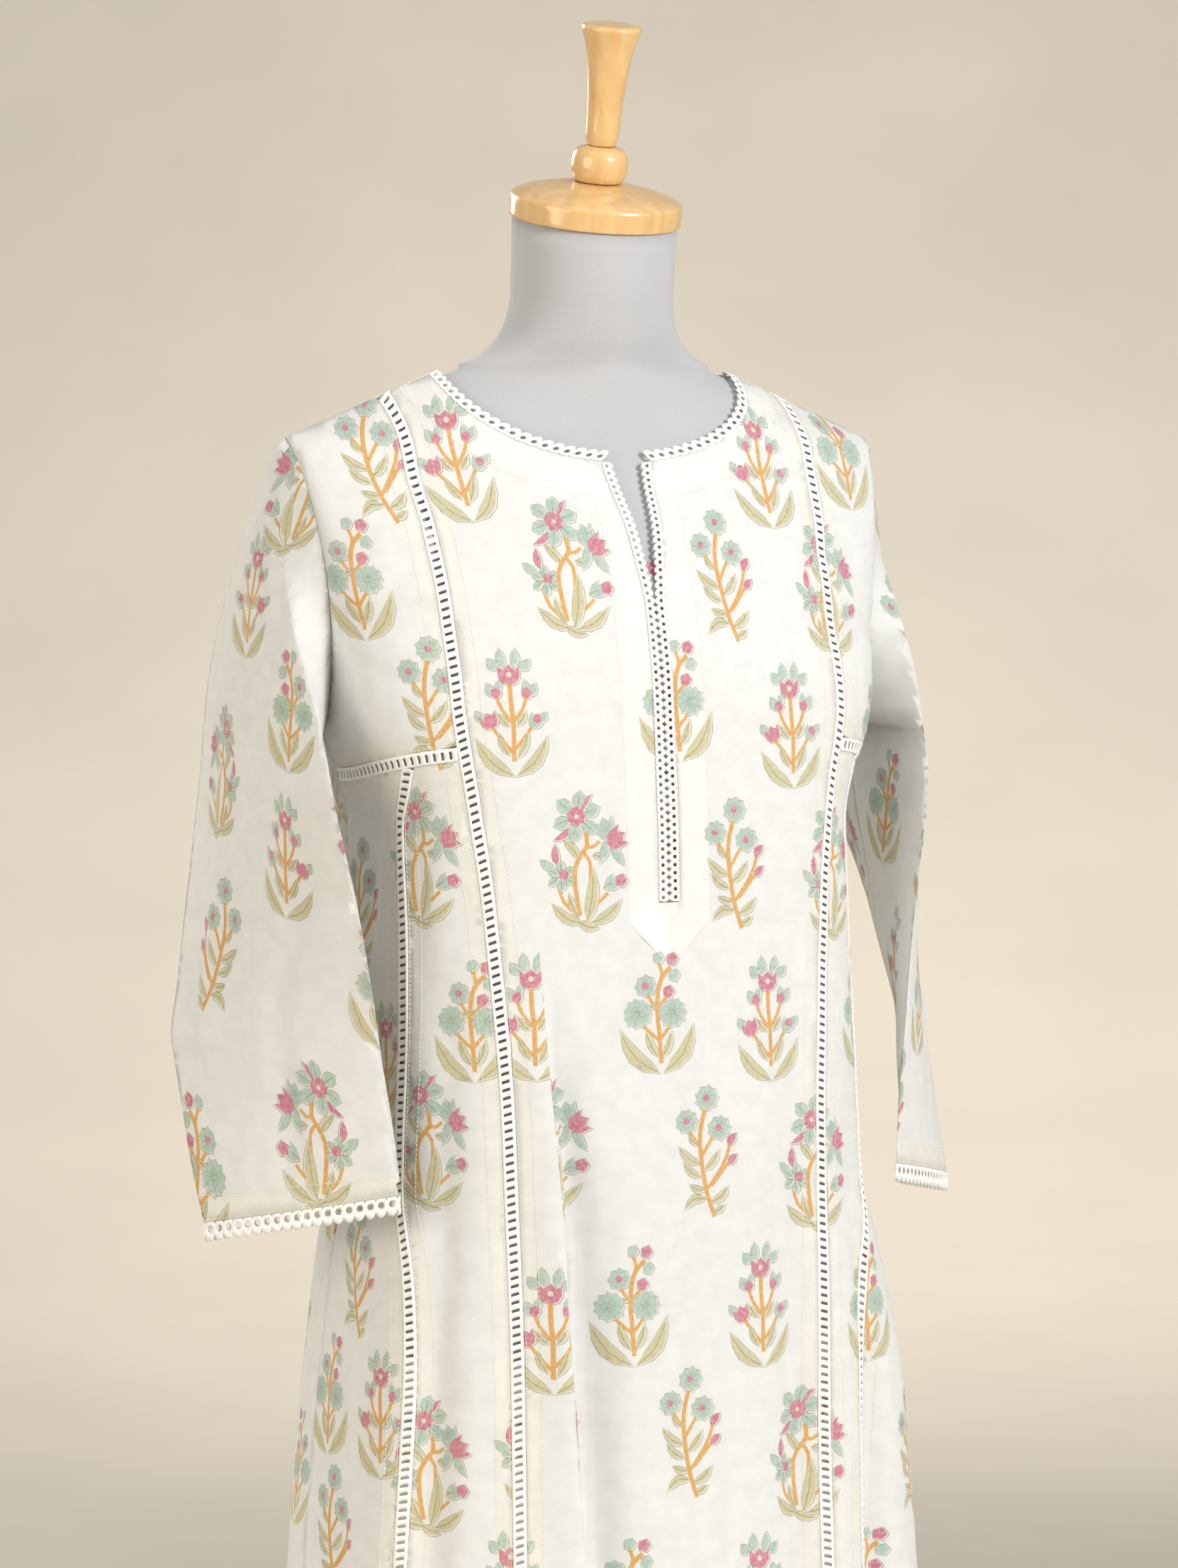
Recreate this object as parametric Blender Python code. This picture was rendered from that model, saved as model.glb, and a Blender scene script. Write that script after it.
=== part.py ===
# Kurta tunic on a limbless dress form, with the form's pole and base.
# Metres, +Z up, front towards -Y, wearer's left towards +X, floor at z = 0.
# Heights on the cloth are drops: the distance below the neck end of the shoulder seam.

import math

import bpy
import bmesh
import numpy as np

# Driving sizes of the garment
NECK_POINT_HEIGHT = 1.390
KURTA_LENGTH = 1.090
NECK_HALF = 0.106
SHOULDER_HALF = 0.203
SHOULDER_DROP = 0.040
UNDERARM_DROP = 0.222
UNDERARM_HALF = 0.178
RIDGE_Y = 0.005
ARMHOLE_FRONT = 0.035
ARMHOLE_BACK = 0.040
FRONT_NECK_DROP = 0.055
BACK_NECK_DROP = 0.020
SLIT_TOP_HALF = 0.0165
SLIT_HALF = 0.0065
SLIT_NARROW_DROP = 0.141
SLIT_BOTTOM_DROP = 0.327

# Cloth, seams and trims
WALL = 0.0012
MERGE = 0.00004
ROW_GAP = 0.002
SAMPLE = 0.001
SEAM = 0.00015
RIDGE_SEAM = 0.00055
SLEEVE_SEAM = 0.0007
SLEEVE_END_GAP = 0.0016
SLEEVE_SIDE_GAP = 0.0005
LADDER_HALF = 0.004
LADDER_GAP = 0.0004
CROSS_DROP = 0.232
CROSS_SLANT = 0.019
SLANT_FRONT_SHARE = 0.42
SLANT_START_DROP = 0.150
SLANT_FADE = 0.090
NECK_LACE_WIDTH = 0.0050
CUFF_LACE_WIDTH = 0.010
TRIM_WALL = 0.0010
FACING_BAND = 0.023
FACING_SLIT_HALF = 0.0277
FACING_POINT_DROP = 0.366
FACING_V_DROP = 0.338
FACING_SQUARE_DROP = 0.077
FACING_RIDGE_GAP = 0.0015
FACING_DEPTH = 0.0014

# Form and stand
FORM_CLEAR = 0.0042
FORM_WAIST_CLEAR = 0.012
FORM_BOTTOM_DROP = 0.610
FORM_LOWER_CLEAR = 0.010
FORM_ARMHOLE_CLEAR = 0.004
FORM_SHOULDER_SHARE = 1.6
FORM_DROPS = (0.0, 0.010, 0.020, 0.031, 0.040, 0.060, 0.085, 0.115, 0.150,
              0.185, 0.222, 0.260, 0.300, 0.360, 0.430, 0.510, 0.570)
CAP_RADIUS = 0.055
CAP_EDGE = 0.015
CAP_DOME = 0.010
CAP_TILT = math.radians(12.5)
CAP_GAP = 0.0003

# Radius of the turned parts and height above the foot of each.
CAP_TOP = ((0.053, 0.0), (0.046, 0.0035), (0.034, 0.0065), (0.020, 0.009), (0.011, 0.010))
BALL = ((0.0150, 0.0), (0.0172, 0.004), (0.0182, 0.010), (0.0176, 0.016), (0.0145, 0.0205),
        (0.0095, 0.0225))
HANDLE = ((0.0090, 0.0), (0.0106, 0.006), (0.0111, 0.020), (0.0125, 0.040), (0.0152, 0.060),
          (0.0180, 0.070), (0.0190, 0.0735), (0.0180, 0.0755), (0.0110, 0.0770))

# Steps round the turned parts.
CAP_STEPS = 28
FINIAL_STEPS = 20
POLE_STEPS = 24
BASE_STEPS = 48
POLE_RADIUS = 0.014
BASE_RADIUS = 0.200
BASE_THICK = 0.022
BASE_EDGE = 0.005

# Horizontal sections of the cloth, a row for each drop: half widths on the wearer's right and
# left, depths to front and back, and how square the front and back quarters are.
SECTION_COLUMNS = ("drop", "right", "left", "front", "back", "front_square", "back_square")
SECTIONS = (
    (-0.006, 0.178, 0.178, 0.0575, 0.052, 1.20, 1.30),
    (0.000, 0.178, 0.178, 0.0580, 0.055, 1.20, 1.30),
    (0.020, 0.178, 0.178, 0.0595, 0.066, 1.30, 1.40),
    (0.040, 0.178, 0.178, 0.0605, 0.076, 1.50, 1.60),
    (0.055, 0.178, 0.178, 0.0620, 0.082, 1.60, 1.75),
    (0.100, 0.178, 0.178, 0.0900, 0.097, 1.65, 2.10),
    (0.150, 0.178, 0.178, 0.1070, 0.106, 2.00, 2.40),
    (0.200, 0.178, 0.178, 0.1170, 0.111, 2.90, 2.40),
    (0.222, 0.178, 0.178, 0.1190, 0.112, 3.20, 2.40),
    (0.250, 0.168, 0.168, 0.1215, 0.113, 3.20, 2.40),
    (0.281, 0.161, 0.161, 0.1245, 0.114, 3.20, 2.30),
    (0.349, 0.163, 0.163, 0.1275, 0.118, 3.20, 2.30),
    (0.417, 0.165, 0.165, 0.1320, 0.124, 3.20, 2.30),
    (0.503, 0.166, 0.168, 0.1370, 0.131, 3.20, 2.30),
    (0.557, 0.174, 0.182, 0.1390, 0.136, 3.20, 2.30),
    (0.607, 0.180, 0.194, 0.1410, 0.140, 3.20, 2.30),
    (0.661, 0.186, 0.205, 0.1425, 0.143, 3.10, 2.30),
    (0.757, 0.194, 0.215, 0.1470, 0.149, 3.00, 2.30),
    (1.090, 0.222, 0.246, 0.1620, 0.166, 2.80, 2.30),
)

# Where the ladder strips run: half widths at each drop
PRINCESS_COLUMNS = ("drop", "right", "left")
PRINCESS = (
    (0.000, 0.1385, 0.1385),
    (0.060, 0.1376, 0.1376),
    (0.100, 0.1340, 0.1340),
    (0.150, 0.1313, 0.1313),
    (0.200, 0.1310, 0.1310),
    (0.265, 0.1220, 0.1220),
    (0.330, 0.1145, 0.1145),
    (0.470, 0.1067, 0.1067),
    (0.650, 0.1050, 0.1050),
    (1.090, 0.1120, 0.1120),
)
SIDE_COLUMNS = ("drop", "right", "left")
SIDE_STRIP = (
    (0.230, 0.1550, 0.1520),
    (0.304, 0.1545, 0.1490),
    (0.521, 0.1590, 0.1500),
    (0.566, 0.1600, 0.1440),
    (0.734, 0.1700, 0.1380),
    (1.090, 0.1930, 0.1600),
)

# Folds: face (1 front, -1 back), side (-1 wearer's right, 1 left), place along the half section
# at start and hem, widths towards centre and side, drops where it starts and is full, height.
FOLD_COLUMNS = ("face", "side", "at_start", "at_hem", "in_width", "out_width",
                "start", "full", "height")
FOLDS = (
    (1, -1, 0.325, 0.215, 0.070, 0.022, 0.420, 0.760, -0.0150),
    (1, -1, 0.370, 0.262, 0.028, 0.036, 0.420, 0.760, 0.0040),
    (1, -1, 0.580, 0.560, 0.060, 0.060, 0.250, 0.700, -0.0060),
    (1, -1, 0.830, 0.800, 0.050, 0.060, 0.500, 0.800, -0.0050),
    (1, 1, 0.330, 0.230, 0.050, 0.060, 0.300, 0.800, -0.0060),
    (1, 1, 0.520, 0.450, 0.040, 0.040, 0.500, 0.760, -0.0080),
    (1, 1, 0.760, 0.720, 0.060, 0.060, 0.480, 0.800, -0.0060),
    (-1, -1, 0.300, 0.280, 0.070, 0.060, 0.330, 0.850, -0.0080),
    (-1, -1, 0.680, 0.720, 0.070, 0.070, 0.400, 0.850, -0.0070),
    (-1, 1, 0.360, 0.400, 0.060, 0.070, 0.300, 0.850, -0.0080),
    (-1, 1, 0.740, 0.760, 0.070, 0.060, 0.420, 0.850, -0.0070),
)

# Sleeve, laid nearly flat with a front and a back crease: places of the creases on the
# wearer's left at each drop, and how far the outer and inner faces swell from the flat.
SLEEVE_COLUMNS = ("front_drop", "back_drop", "front_x", "front_y", "back_x", "back_y",
                  "outer", "inner")
SLEEVE = (
    (0.060, 0.060, 0.2060, 0.0040, 0.2060, 0.0280, 0.003, 0.0),
    (0.090, 0.090, 0.2085, 0.0000, 0.2095, 0.0520, 0.005, 0.0),
    (0.125, 0.125, 0.2100, -0.0100, 0.2130, 0.0730, 0.007, 0.0),
    (0.160, 0.160, 0.2110, -0.0320, 0.2160, 0.0920, 0.009, 0.0),
    (0.195, 0.195, 0.2092, -0.0550, 0.2188, 0.1050, 0.011, 0.0),
    (0.222, 0.222, 0.2070, -0.0680, 0.2200, 0.1100, 0.012, 0.0),
    (0.254, 0.254, 0.2050, -0.0800, 0.2220, 0.1120, 0.013, 0.014),
    (0.330, 0.330, 0.1920, -0.0900, 0.2400, 0.0880, 0.013, 0.011),
    (0.380, 0.384, 0.1845, -0.0940, 0.2540, 0.0670, 0.012, 0.010),
    (0.417, 0.423, 0.1800, -0.0970, 0.2640, 0.0480, 0.010, 0.009),
    (0.460, 0.474, 0.1745, -0.1010, 0.2640, 0.0230, 0.008, 0.008),
    (0.503, 0.529, 0.1700, -0.1040, 0.2620, -0.0020, 0.006, 0.006),
)
SLEEVE_FLAP_STEPS = 2
SLEEVE_FACE_STEPS = 5

# Form above the shoulders: half width, front, back, middle and how square, for each height
NECK_COLUMNS = ("rise", "half", "front", "back", "middle", "square")
NECK = (
    (0.006, 0.0870, 0.0550, 0.0520, 0.003, 1.35),
    (0.013, 0.0720, 0.0545, 0.0500, 0.001, 1.60),
    (0.022, 0.0610, 0.0545, 0.0480, -0.002, 1.85),
    (0.033, 0.0550, 0.0550, 0.0460, -0.004, 2.00),
    (0.048, 0.0520, 0.0565, 0.0440, -0.006, 2.00),
)
NECK_TOP_RISE = 0.097
NECK_TOP_RADIUS = 0.0525
NECK_TOP_Y = -0.013

# Columns of the lattice across each panel
FACING_COLUMNS = 2
CENTRE_COLUMNS = 5
MIDDLE_COLUMNS = 4
OUTER_COLUMNS = 3
BACK_COLUMNS = 6

# Drops of the steps of the neck curve, front and back, before its last point
NECK_DROPS = {1: (0.011, 0.0215, 0.031, SHOULDER_DROP, 0.047, 0.052),
              -1: (0.0052, 0.0100, 0.0141, 0.0173, 0.0193)}

# Drops of the shared rows of the lattice on the cloth
SLANT_RATE = CROSS_SLANT / (CROSS_DROP - LADDER_HALF - SLANT_START_DROP)
UNDERARM_ROW = (UNDERARM_DROP + SLANT_RATE * SLANT_START_DROP) / (1.0 + SLANT_RATE)
ARMHOLE_ROWS = (0.047, 0.052, 0.060, FACING_SQUARE_DROP, 0.100, 0.128, 0.155, 0.180, 0.197,
                UNDERARM_ROW)
SKIRT_ROWS = (0.250, 0.281, 0.315, 0.349, 0.383, 0.417, 0.460, 0.503, 0.530, 0.557, 0.607,
              0.661, 0.709, 0.757, 0.840, 0.923, 1.006, KURTA_LENGTH)
ROWS = NECK_DROPS[1][:4] + ARMHOLE_ROWS + SKIRT_ROWS
CROSS_ROWS = (CROSS_DROP - LADDER_HALF - LADDER_GAP, CROSS_DROP + LADDER_HALF + LADDER_GAP)
SLEEVE_ROWS = (0.254, 0.292, 0.330, 0.375, 0.417, 0.460, 0.503)

# Colour, roughness and metallic value of each finish
FINISHES = {
    "cloth": ((0.86, 0.84, 0.78), 0.85, 0.0),
    "facing_cloth": ((0.82, 0.78, 0.68), 0.85, 0.0),
    "ladder_tape": ((0.88, 0.86, 0.80), 0.80, 0.0),
    "picot_lace": ((0.90, 0.89, 0.85), 0.80, 0.0),
    "form_jersey": ((0.58, 0.58, 0.58), 0.75, 0.0),
    "turned_wood": ((0.70, 0.43, 0.20), 0.30, 0.0),
    "painted_steel": ((0.42, 0.42, 0.42), 0.40, 0.6),
    "base_paint": ((0.60, 0.60, 0.60), 0.45, 0.0),
}


def clear_scene():
    for thing in list(bpy.data.objects):
        bpy.data.objects.remove(thing, do_unlink=True)


def finish(name):
    material = bpy.data.materials.get(name)
    if material is None:
        colour, roughness, metallic = FINISHES[name]
        material = bpy.data.materials.new(name)
        material.use_nodes = True
        shader = material.node_tree.nodes["Principled BSDF"]
        shader.inputs["Base Color"].default_value = (*colour, 1.0)
        shader.inputs["Roughness"].default_value = roughness
        shader.inputs["Metallic"].default_value = metallic
        material.diffuse_color = (*colour, 1.0)
    return material


def read_row(table, columns, place, column):
    """A column of a table at a place, joined by a curve that never overshoots."""
    stations = [row[0] for row in table]
    values = [row[columns.index(column)] for row in table]
    if place <= stations[0]:
        return values[0]
    if place >= stations[-1]:
        return values[-1]
    gaps = [b - a for a, b in zip(stations, stations[1:])]
    slopes = [(b - a) / gap for a, b, gap in zip(values, values[1:], gaps)]
    tangents = [slopes[0]]
    for before, after in zip(slopes, slopes[1:]):
        tangents.append(2.0 * before * after / (before + after) if before * after > 0.0 else 0.0)
    tangents.append(slopes[-1])
    low = max(i for i, station in enumerate(stations[:-1]) if station <= place)
    gap = gaps[low]
    t = (place - stations[low]) / gap
    return (values[low] * (1 + 2 * t) * (1 - t) ** 2 + tangents[low] * gap * t * (1 - t) ** 2
            + values[low + 1] * t * t * (3 - 2 * t) + tangents[low + 1] * gap * t * t * (t - 1))


def smooth_step(value):
    value = min(max(value, 0.0), 1.0)
    return value * value * (3.0 - 2.0 * value)


def side_name(side):
    return "right" if side < 0 else "left"


def half_width(drop, side):
    """Where the front meets the back: shoulder ridge, armhole, then side seam."""
    if drop <= SHOULDER_DROP:
        return NECK_HALF + (SHOULDER_HALF - NECK_HALF) * drop / SHOULDER_DROP
    if drop <= UNDERARM_DROP:
        t = (drop - SHOULDER_DROP) / (UNDERARM_DROP - SHOULDER_DROP)
        return SHOULDER_HALF - (SHOULDER_HALF - UNDERARM_HALF) * t ** 0.8
    return read_row(SECTIONS, SECTION_COLUMNS, drop, side_name(side))


def armhole_hollow(drop):
    """Share of the armhole's full depth, none at the shoulder tip and the underarm."""
    if not SHOULDER_DROP < drop < UNDERARM_DROP - 1e-6:
        return 0.0
    t = (drop - SHOULDER_DROP) / (UNDERARM_DROP - SHOULDER_DROP)
    return math.sin(math.pi * t) ** 0.7


def edge_y(drop, face):
    """Depth of the panel's outer edge, hollowed between shoulder and underarm."""
    hollow = armhole_hollow(drop)
    return RIDGE_Y - ARMHOLE_FRONT * hollow if face > 0 else RIDGE_Y + ARMHOLE_BACK * hollow


def quarter(half, centre_y, end_y, square, steps=40):
    """Points of a quarter section from the middle out to the edge."""
    points = []
    for i in range(steps + 1):
        angle = 0.5 * math.pi * i / steps
        x = half * max(math.sin(angle), 0.0) ** (2.0 / square)
        y = end_y + (centre_y - end_y) * max(math.cos(angle), 0.0) ** (2.0 / square)
        points.append((x, y))
    points[-1] = (half, end_y)
    return np.array(points)


section_store = {}


def section(drop, face, side):
    """Half section of the cloth: its points and how far along it each one lies."""
    key = (round(drop, 6), face, side)
    if key not in section_store:
        name = "front" if face > 0 else "back"
        depth = read_row(SECTIONS, SECTION_COLUMNS, drop, name)
        square = read_row(SECTIONS, SECTION_COLUMNS, drop, name + "_square")
        points = quarter(half_width(drop, side), -face * depth, edge_y(drop, face), square)
        runs = np.hypot(*np.diff(points, axis=0).T)
        section_store[key] = (points, np.concatenate(([0.0], np.cumsum(runs))))
    return section_store[key]


def run_at_x(drop, face, side, x):
    """How far along the half section a half width lies."""
    points, along = section(drop, face, side)
    return float(np.interp(x, points[:, 0], along))


def whole_run(drop, face, side):
    return float(section(drop, face, side)[1][-1])


def seam_run(drop, face, side):
    """Run of a panel's outer edge: shoulder seam, armhole or side seam."""
    gap = RIDGE_SEAM if drop <= SHOULDER_DROP + 0.001 else SEAM
    return whole_run(drop, face, side) - gap


def fold_height(drop, share, face, side):
    height = 0.0
    for row in FOLDS:
        fold = dict(zip(FOLD_COLUMNS, row))
        if fold["face"] != face or fold["side"] != side or drop <= fold["start"]:
            continue
        way = (drop - fold["start"]) / (KURTA_LENGTH - fold["start"])
        offset = share - (fold["at_start"] + (fold["at_hem"] - fold["at_start"]) * way)
        width = fold["in_width"] if offset < 0.0 else fold["out_width"]
        grown = smooth_step((drop - fold["start"]) / (fold["full"] - fold["start"]))
        height += fold["height"] * grown * math.exp(-(offset / width) ** 2)
    return height


def slanted(drop, share, face):
    """Rows dip towards the side near the cross strip, and are level elsewhere."""
    above = min(max((drop - SLANT_START_DROP) * SLANT_RATE / CROSS_SLANT, 0.0), 1.0)
    below = 1.0 - smooth_step((drop - CROSS_DROP - LADDER_HALF - LADDER_GAP) / SLANT_FADE)
    start = SLANT_FRONT_SHARE if face > 0 else 0.0
    lean = smooth_step((share - start) / (1.0 - start))
    return drop + CROSS_SLANT * lean * (above if drop < CROSS_DROP else below)


def cloth_point(drop, run, face, side, lift=0.0, level=False):
    """Point on the cloth's middle surface, or lifted off it along its normal."""
    if lift:
        here = np.array(cloth_point(drop, run, face, side, 0.0, level))
        way = 1.0 if run < 2.0 * SAMPLE else -1.0
        beside = np.array(cloth_point(drop, run + way * SAMPLE, face, side, 0.0, level))
        below = np.array(cloth_point(drop + SAMPLE, run, face, side, 0.0, level))
        normal = np.cross(beside - here, below - here) * -way * side * face
        return tuple(here + lift * normal / np.linalg.norm(normal))
    share = min(max(run / whole_run(drop, face, side), 0.0), 1.0)
    place = drop if level else slanted(drop, share, face)
    points, along = section(place, face, side)
    run = share * along[-1]
    step = SAMPLE
    low = np.array([np.interp(max(run - step, 0.0), along, points[:, k]) for k in (0, 1)])
    high = np.array([np.interp(min(run + step, along[-1]), along, points[:, k]) for k in (0, 1)])
    x, y = (float(np.interp(run, along, points[:, k])) for k in (0, 1))
    tangent = (high - low) / max(np.hypot(*(high - low)), 1e-9)
    out = np.array((tangent[1], -tangent[0])) * face
    push = fold_height(place, share, face, side)
    return (side * (x + out[0] * push), y + out[1] * push, NECK_POINT_HEIGHT - place)


def neck_half(drop, face):
    """Half width of the neck hole and of the slit below it."""
    depth = FRONT_NECK_DROP if face > 0 else BACK_NECK_DROP
    if drop < depth - 1e-7:
        curve = NECK_HALF * math.sqrt(max(1.0 - (drop / depth) ** 2, 0.0))
        return max(curve, SLIT_TOP_HALF) if face > 0 else curve
    if face < 0 or drop > SLIT_BOTTOM_DROP:
        return 0.0
    t = min((drop - depth) / (SLIT_NARROW_DROP - depth), 1.0)
    return SLIT_TOP_HALF + (SLIT_HALF - SLIT_TOP_HALF) * t


def neck_angles(face):
    """Angles of the steps of the neck curve, from the shoulder on."""
    depth = FRONT_NECK_DROP if face > 0 else BACK_NECK_DROP
    last = math.acos(SLIT_TOP_HALF / NECK_HALF) if face > 0 else 0.5 * math.pi
    return [math.asin(drop / depth) for drop in NECK_DROPS[face]] + [last]


def rows_below_neck(top, bottom, face, extra=()):
    """Rows through the steps of the neck curve, then the shared rows below it."""
    depth = FRONT_NECK_DROP if face > 0 else BACK_NECK_DROP
    curve = [depth * math.sin(angle) for angle in neck_angles(face)]
    return [top, *[row for row in curve if row > top + ROW_GAP],
            *rows_between(curve[-1], bottom, extra)[1:]]


def strip_run(table, columns, drop, side, offset):
    """Run of a ladder strip's edge, never past the outer edge of the front."""
    x = read_row(table, columns, drop, side_name(side))
    edge = whole_run(drop, 1, side)
    if x >= half_width(drop, side) - 1e-6:
        return edge
    return min(run_at_x(drop, 1, side, x) + offset, edge)


def princess_run(drop, side, offset=0.0):
    return strip_run(PRINCESS, PRINCESS_COLUMNS, drop, side, offset)


def side_run(drop, side, offset=0.0):
    return strip_run(SIDE_STRIP, SIDE_COLUMNS, drop, side, offset)


def first_drop(width, low=0.0, high=0.060):
    """Drop at which a width that opens from nothing becomes real."""
    for _ in range(30):
        middle = 0.5 * (low + high)
        if width(middle) > 0.0003:
            high = middle
        else:
            low = middle
    return high


def rows_between(top, bottom, extra=()):
    inside = [row for row in sorted((*ROWS, *extra)) if top + ROW_GAP < row < bottom - ROW_GAP]
    return [top, *inside, bottom]


def new_object(name, mesh_data, finish_name):
    mesh = bpy.data.meshes.new(name)
    mesh_data.to_mesh(mesh)
    mesh_data.free()
    mesh.materials.append(finish(finish_name))
    thing = bpy.data.objects.new(name, mesh)
    bpy.context.scene.collection.objects.link(thing)
    return thing


def grid_faces(mesh_data, lattice):
    """Quads over rows of points."""
    rows = [[mesh_data.verts.new(point) for point in row] for row in lattice]
    for upper, lower in zip(rows, rows[1:]):
        for i in range(len(upper) - 1):
            mesh_data.faces.new((upper[i], upper[i + 1], lower[i + 1], lower[i]))


def cloth_wall(name, lattices, finish_name, wall=WALL):
    """One closed wall of cloth over grids that share their meeting points."""
    data = bmesh.new()
    for lattice in lattices:
        grid_faces(data, lattice)
    bmesh.ops.remove_doubles(data, verts=data.verts, dist=MERGE)
    bmesh.ops.dissolve_degenerate(data, dist=0.00002, edges=data.edges)
    bmesh.ops.recalc_face_normals(data, faces=data.faces)
    for face in data.faces:
        face.smooth = True
    thing = new_object(name, data, finish_name)
    solid = thing.modifiers.new("wall", "SOLIDIFY")
    solid.thickness = wall
    solid.offset = 0.0
    solid.use_even_offset = False
    return thing


def spread(start, end, columns):
    """Runs evenly spread from one edge to the other."""
    end = max(start, end)
    return [start + (end - start) * i / columns for i in range(columns + 1)]


def panel(rows, inner, outer, columns, face, side):
    """Lattice of points between two edges, each given as a run at a drop."""
    return [[cloth_point(drop, run, face, side) for run in spread(inner(drop), outer(drop), columns)]
            for drop in rows]


def facing_half(drop):
    """Outer edge of the facing: a band round the neck, then along the slit."""
    deep = FRONT_NECK_DROP + FACING_BAND
    curve = (NECK_HALF + FACING_BAND) * math.sqrt(max(1.0 - (drop / deep) ** 2, 0.0))
    return max(curve, FACING_SLIT_HALF)


def centre_edges(side):
    """Runs of the neck or slit edge, the facing's edge and the princess seam at a drop."""
    def inner(drop):
        return run_at_x(drop, 1, side, neck_half(drop, 1))

    def outer(drop):
        edge = seam_run(drop, 1, side)
        return min(princess_run(drop, side, -LADDER_HALF - LADDER_GAP), edge)

    def split(drop):
        return min(run_at_x(drop, 1, side, facing_half(drop)), outer(drop))

    return inner, split, outer


def centre_rows(top, bottom):
    return rows_below_neck(top, bottom, 1, (SLIT_BOTTOM_DROP, SLIT_BOTTOM_DROP + 2 * ROW_GAP,
                                            *CROSS_ROWS))


def make_front_centre():
    halves = []
    for side in (-1, 1):
        inner, split, outer = centre_edges(side)
        top = first_drop(lambda drop: outer(drop) - inner(drop))
        lattice = []
        for drop in centre_rows(top, KURTA_LENGTH):
            runs = spread(inner(drop), split(drop), FACING_COLUMNS)
            runs += spread(split(drop), outer(drop), CENTRE_COLUMNS)[1:]
            lattice.append([cloth_point(drop, run, 1, side) for run in runs])
        halves.append(lattice)
    cloth_wall("front_centre", halves, "cloth")


def make_front_sides():
    """Yoke, middle and side panels with the ladder strips between them, on each side."""
    strip_edge = LADDER_HALF + LADDER_GAP
    for side in (-1, 1):
        label = side_name(side)

        def seam(drop, side=side):
            return seam_run(drop, 1, side)

        def princess_edge(offset, side=side):
            return lambda drop: min(princess_run(drop, side, offset), seam(drop, side))

        def side_edge(offset, side=side):
            return lambda drop: min(side_run(drop, side, offset), seam(drop, side))

        def across(drop, side=side):
            inner = spread(princess_edge(strip_edge, side)(drop),
                           side_edge(-strip_edge, side)(drop), MIDDLE_COLUMNS)
            outer = spread(side_edge(strip_edge, side)(drop), seam(drop, side), OUTER_COLUMNS)
            return inner + outer

        def across_lattice(rows, side=side):
            return [[cloth_point(drop, run, 1, side) for run in across(drop, side)]
                    for drop in rows]

        top = first_drop(lambda drop: seam(drop) - princess_edge(strip_edge)(drop))
        upper = rows_between(top, CROSS_ROWS[0])
        cross = [CROSS_DROP - LADDER_HALF, CROSS_DROP + LADDER_HALF]
        lower = rows_between(CROSS_ROWS[1], KURTA_LENGTH)
        cloth_wall("front_yoke_" + label, [across_lattice(upper)], "cloth")
        cloth_wall("cross_strip_" + label, [across_lattice(cross)], "ladder_tape")
        cloth_wall("front_mid_" + label, [panel(lower, princess_edge(strip_edge),
                                                side_edge(-strip_edge), MIDDLE_COLUMNS, 1, side)],
                   "cloth")
        cloth_wall("side_strip_" + label, [panel(lower, side_edge(-LADDER_HALF),
                                                 side_edge(LADDER_HALF), 1, 1, side)],
                   "ladder_tape")
        cloth_wall("front_side_" + label, [panel(lower, side_edge(strip_edge), seam,
                                                 OUTER_COLUMNS, 1, side)], "cloth")

        top = first_drop(lambda drop: princess_edge(LADDER_HALF)(drop)
                         - princess_edge(-LADDER_HALF)(drop))
        cloth_wall("princess_strip_" + label,
                   [panel(rows_between(top, KURTA_LENGTH, CROSS_ROWS), princess_edge(-LADDER_HALF),
                          princess_edge(LADDER_HALF), 1, 1, side)], "ladder_tape")


def make_back():
    halves = []
    for side in (-1, 1):
        def inner(drop, side=side):
            return run_at_x(drop, -1, side, neck_half(drop, -1))

        def outer(drop, side=side):
            return seam_run(drop, -1, side)

        top = first_drop(lambda drop: outer(drop) - inner(drop))
        rows = rows_below_neck(top, KURTA_LENGTH, -1)
        halves.append(panel(rows, inner, outer, BACK_COLUMNS, -1, side))
    cloth_wall("back", halves, "cloth")


def armhole_seam(drop, face, side):
    """Edge of the sleeve cap, just clear of the panel's armhole edge."""
    hollow = armhole_hollow(drop)
    x = half_width(drop, side) + SLEEVE_END_GAP - (SLEEVE_END_GAP - SLEEVE_SIDE_GAP) * hollow
    return np.array((x, edge_y(drop, face) + face * SLEEVE_SEAM * hollow, -drop))


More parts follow.
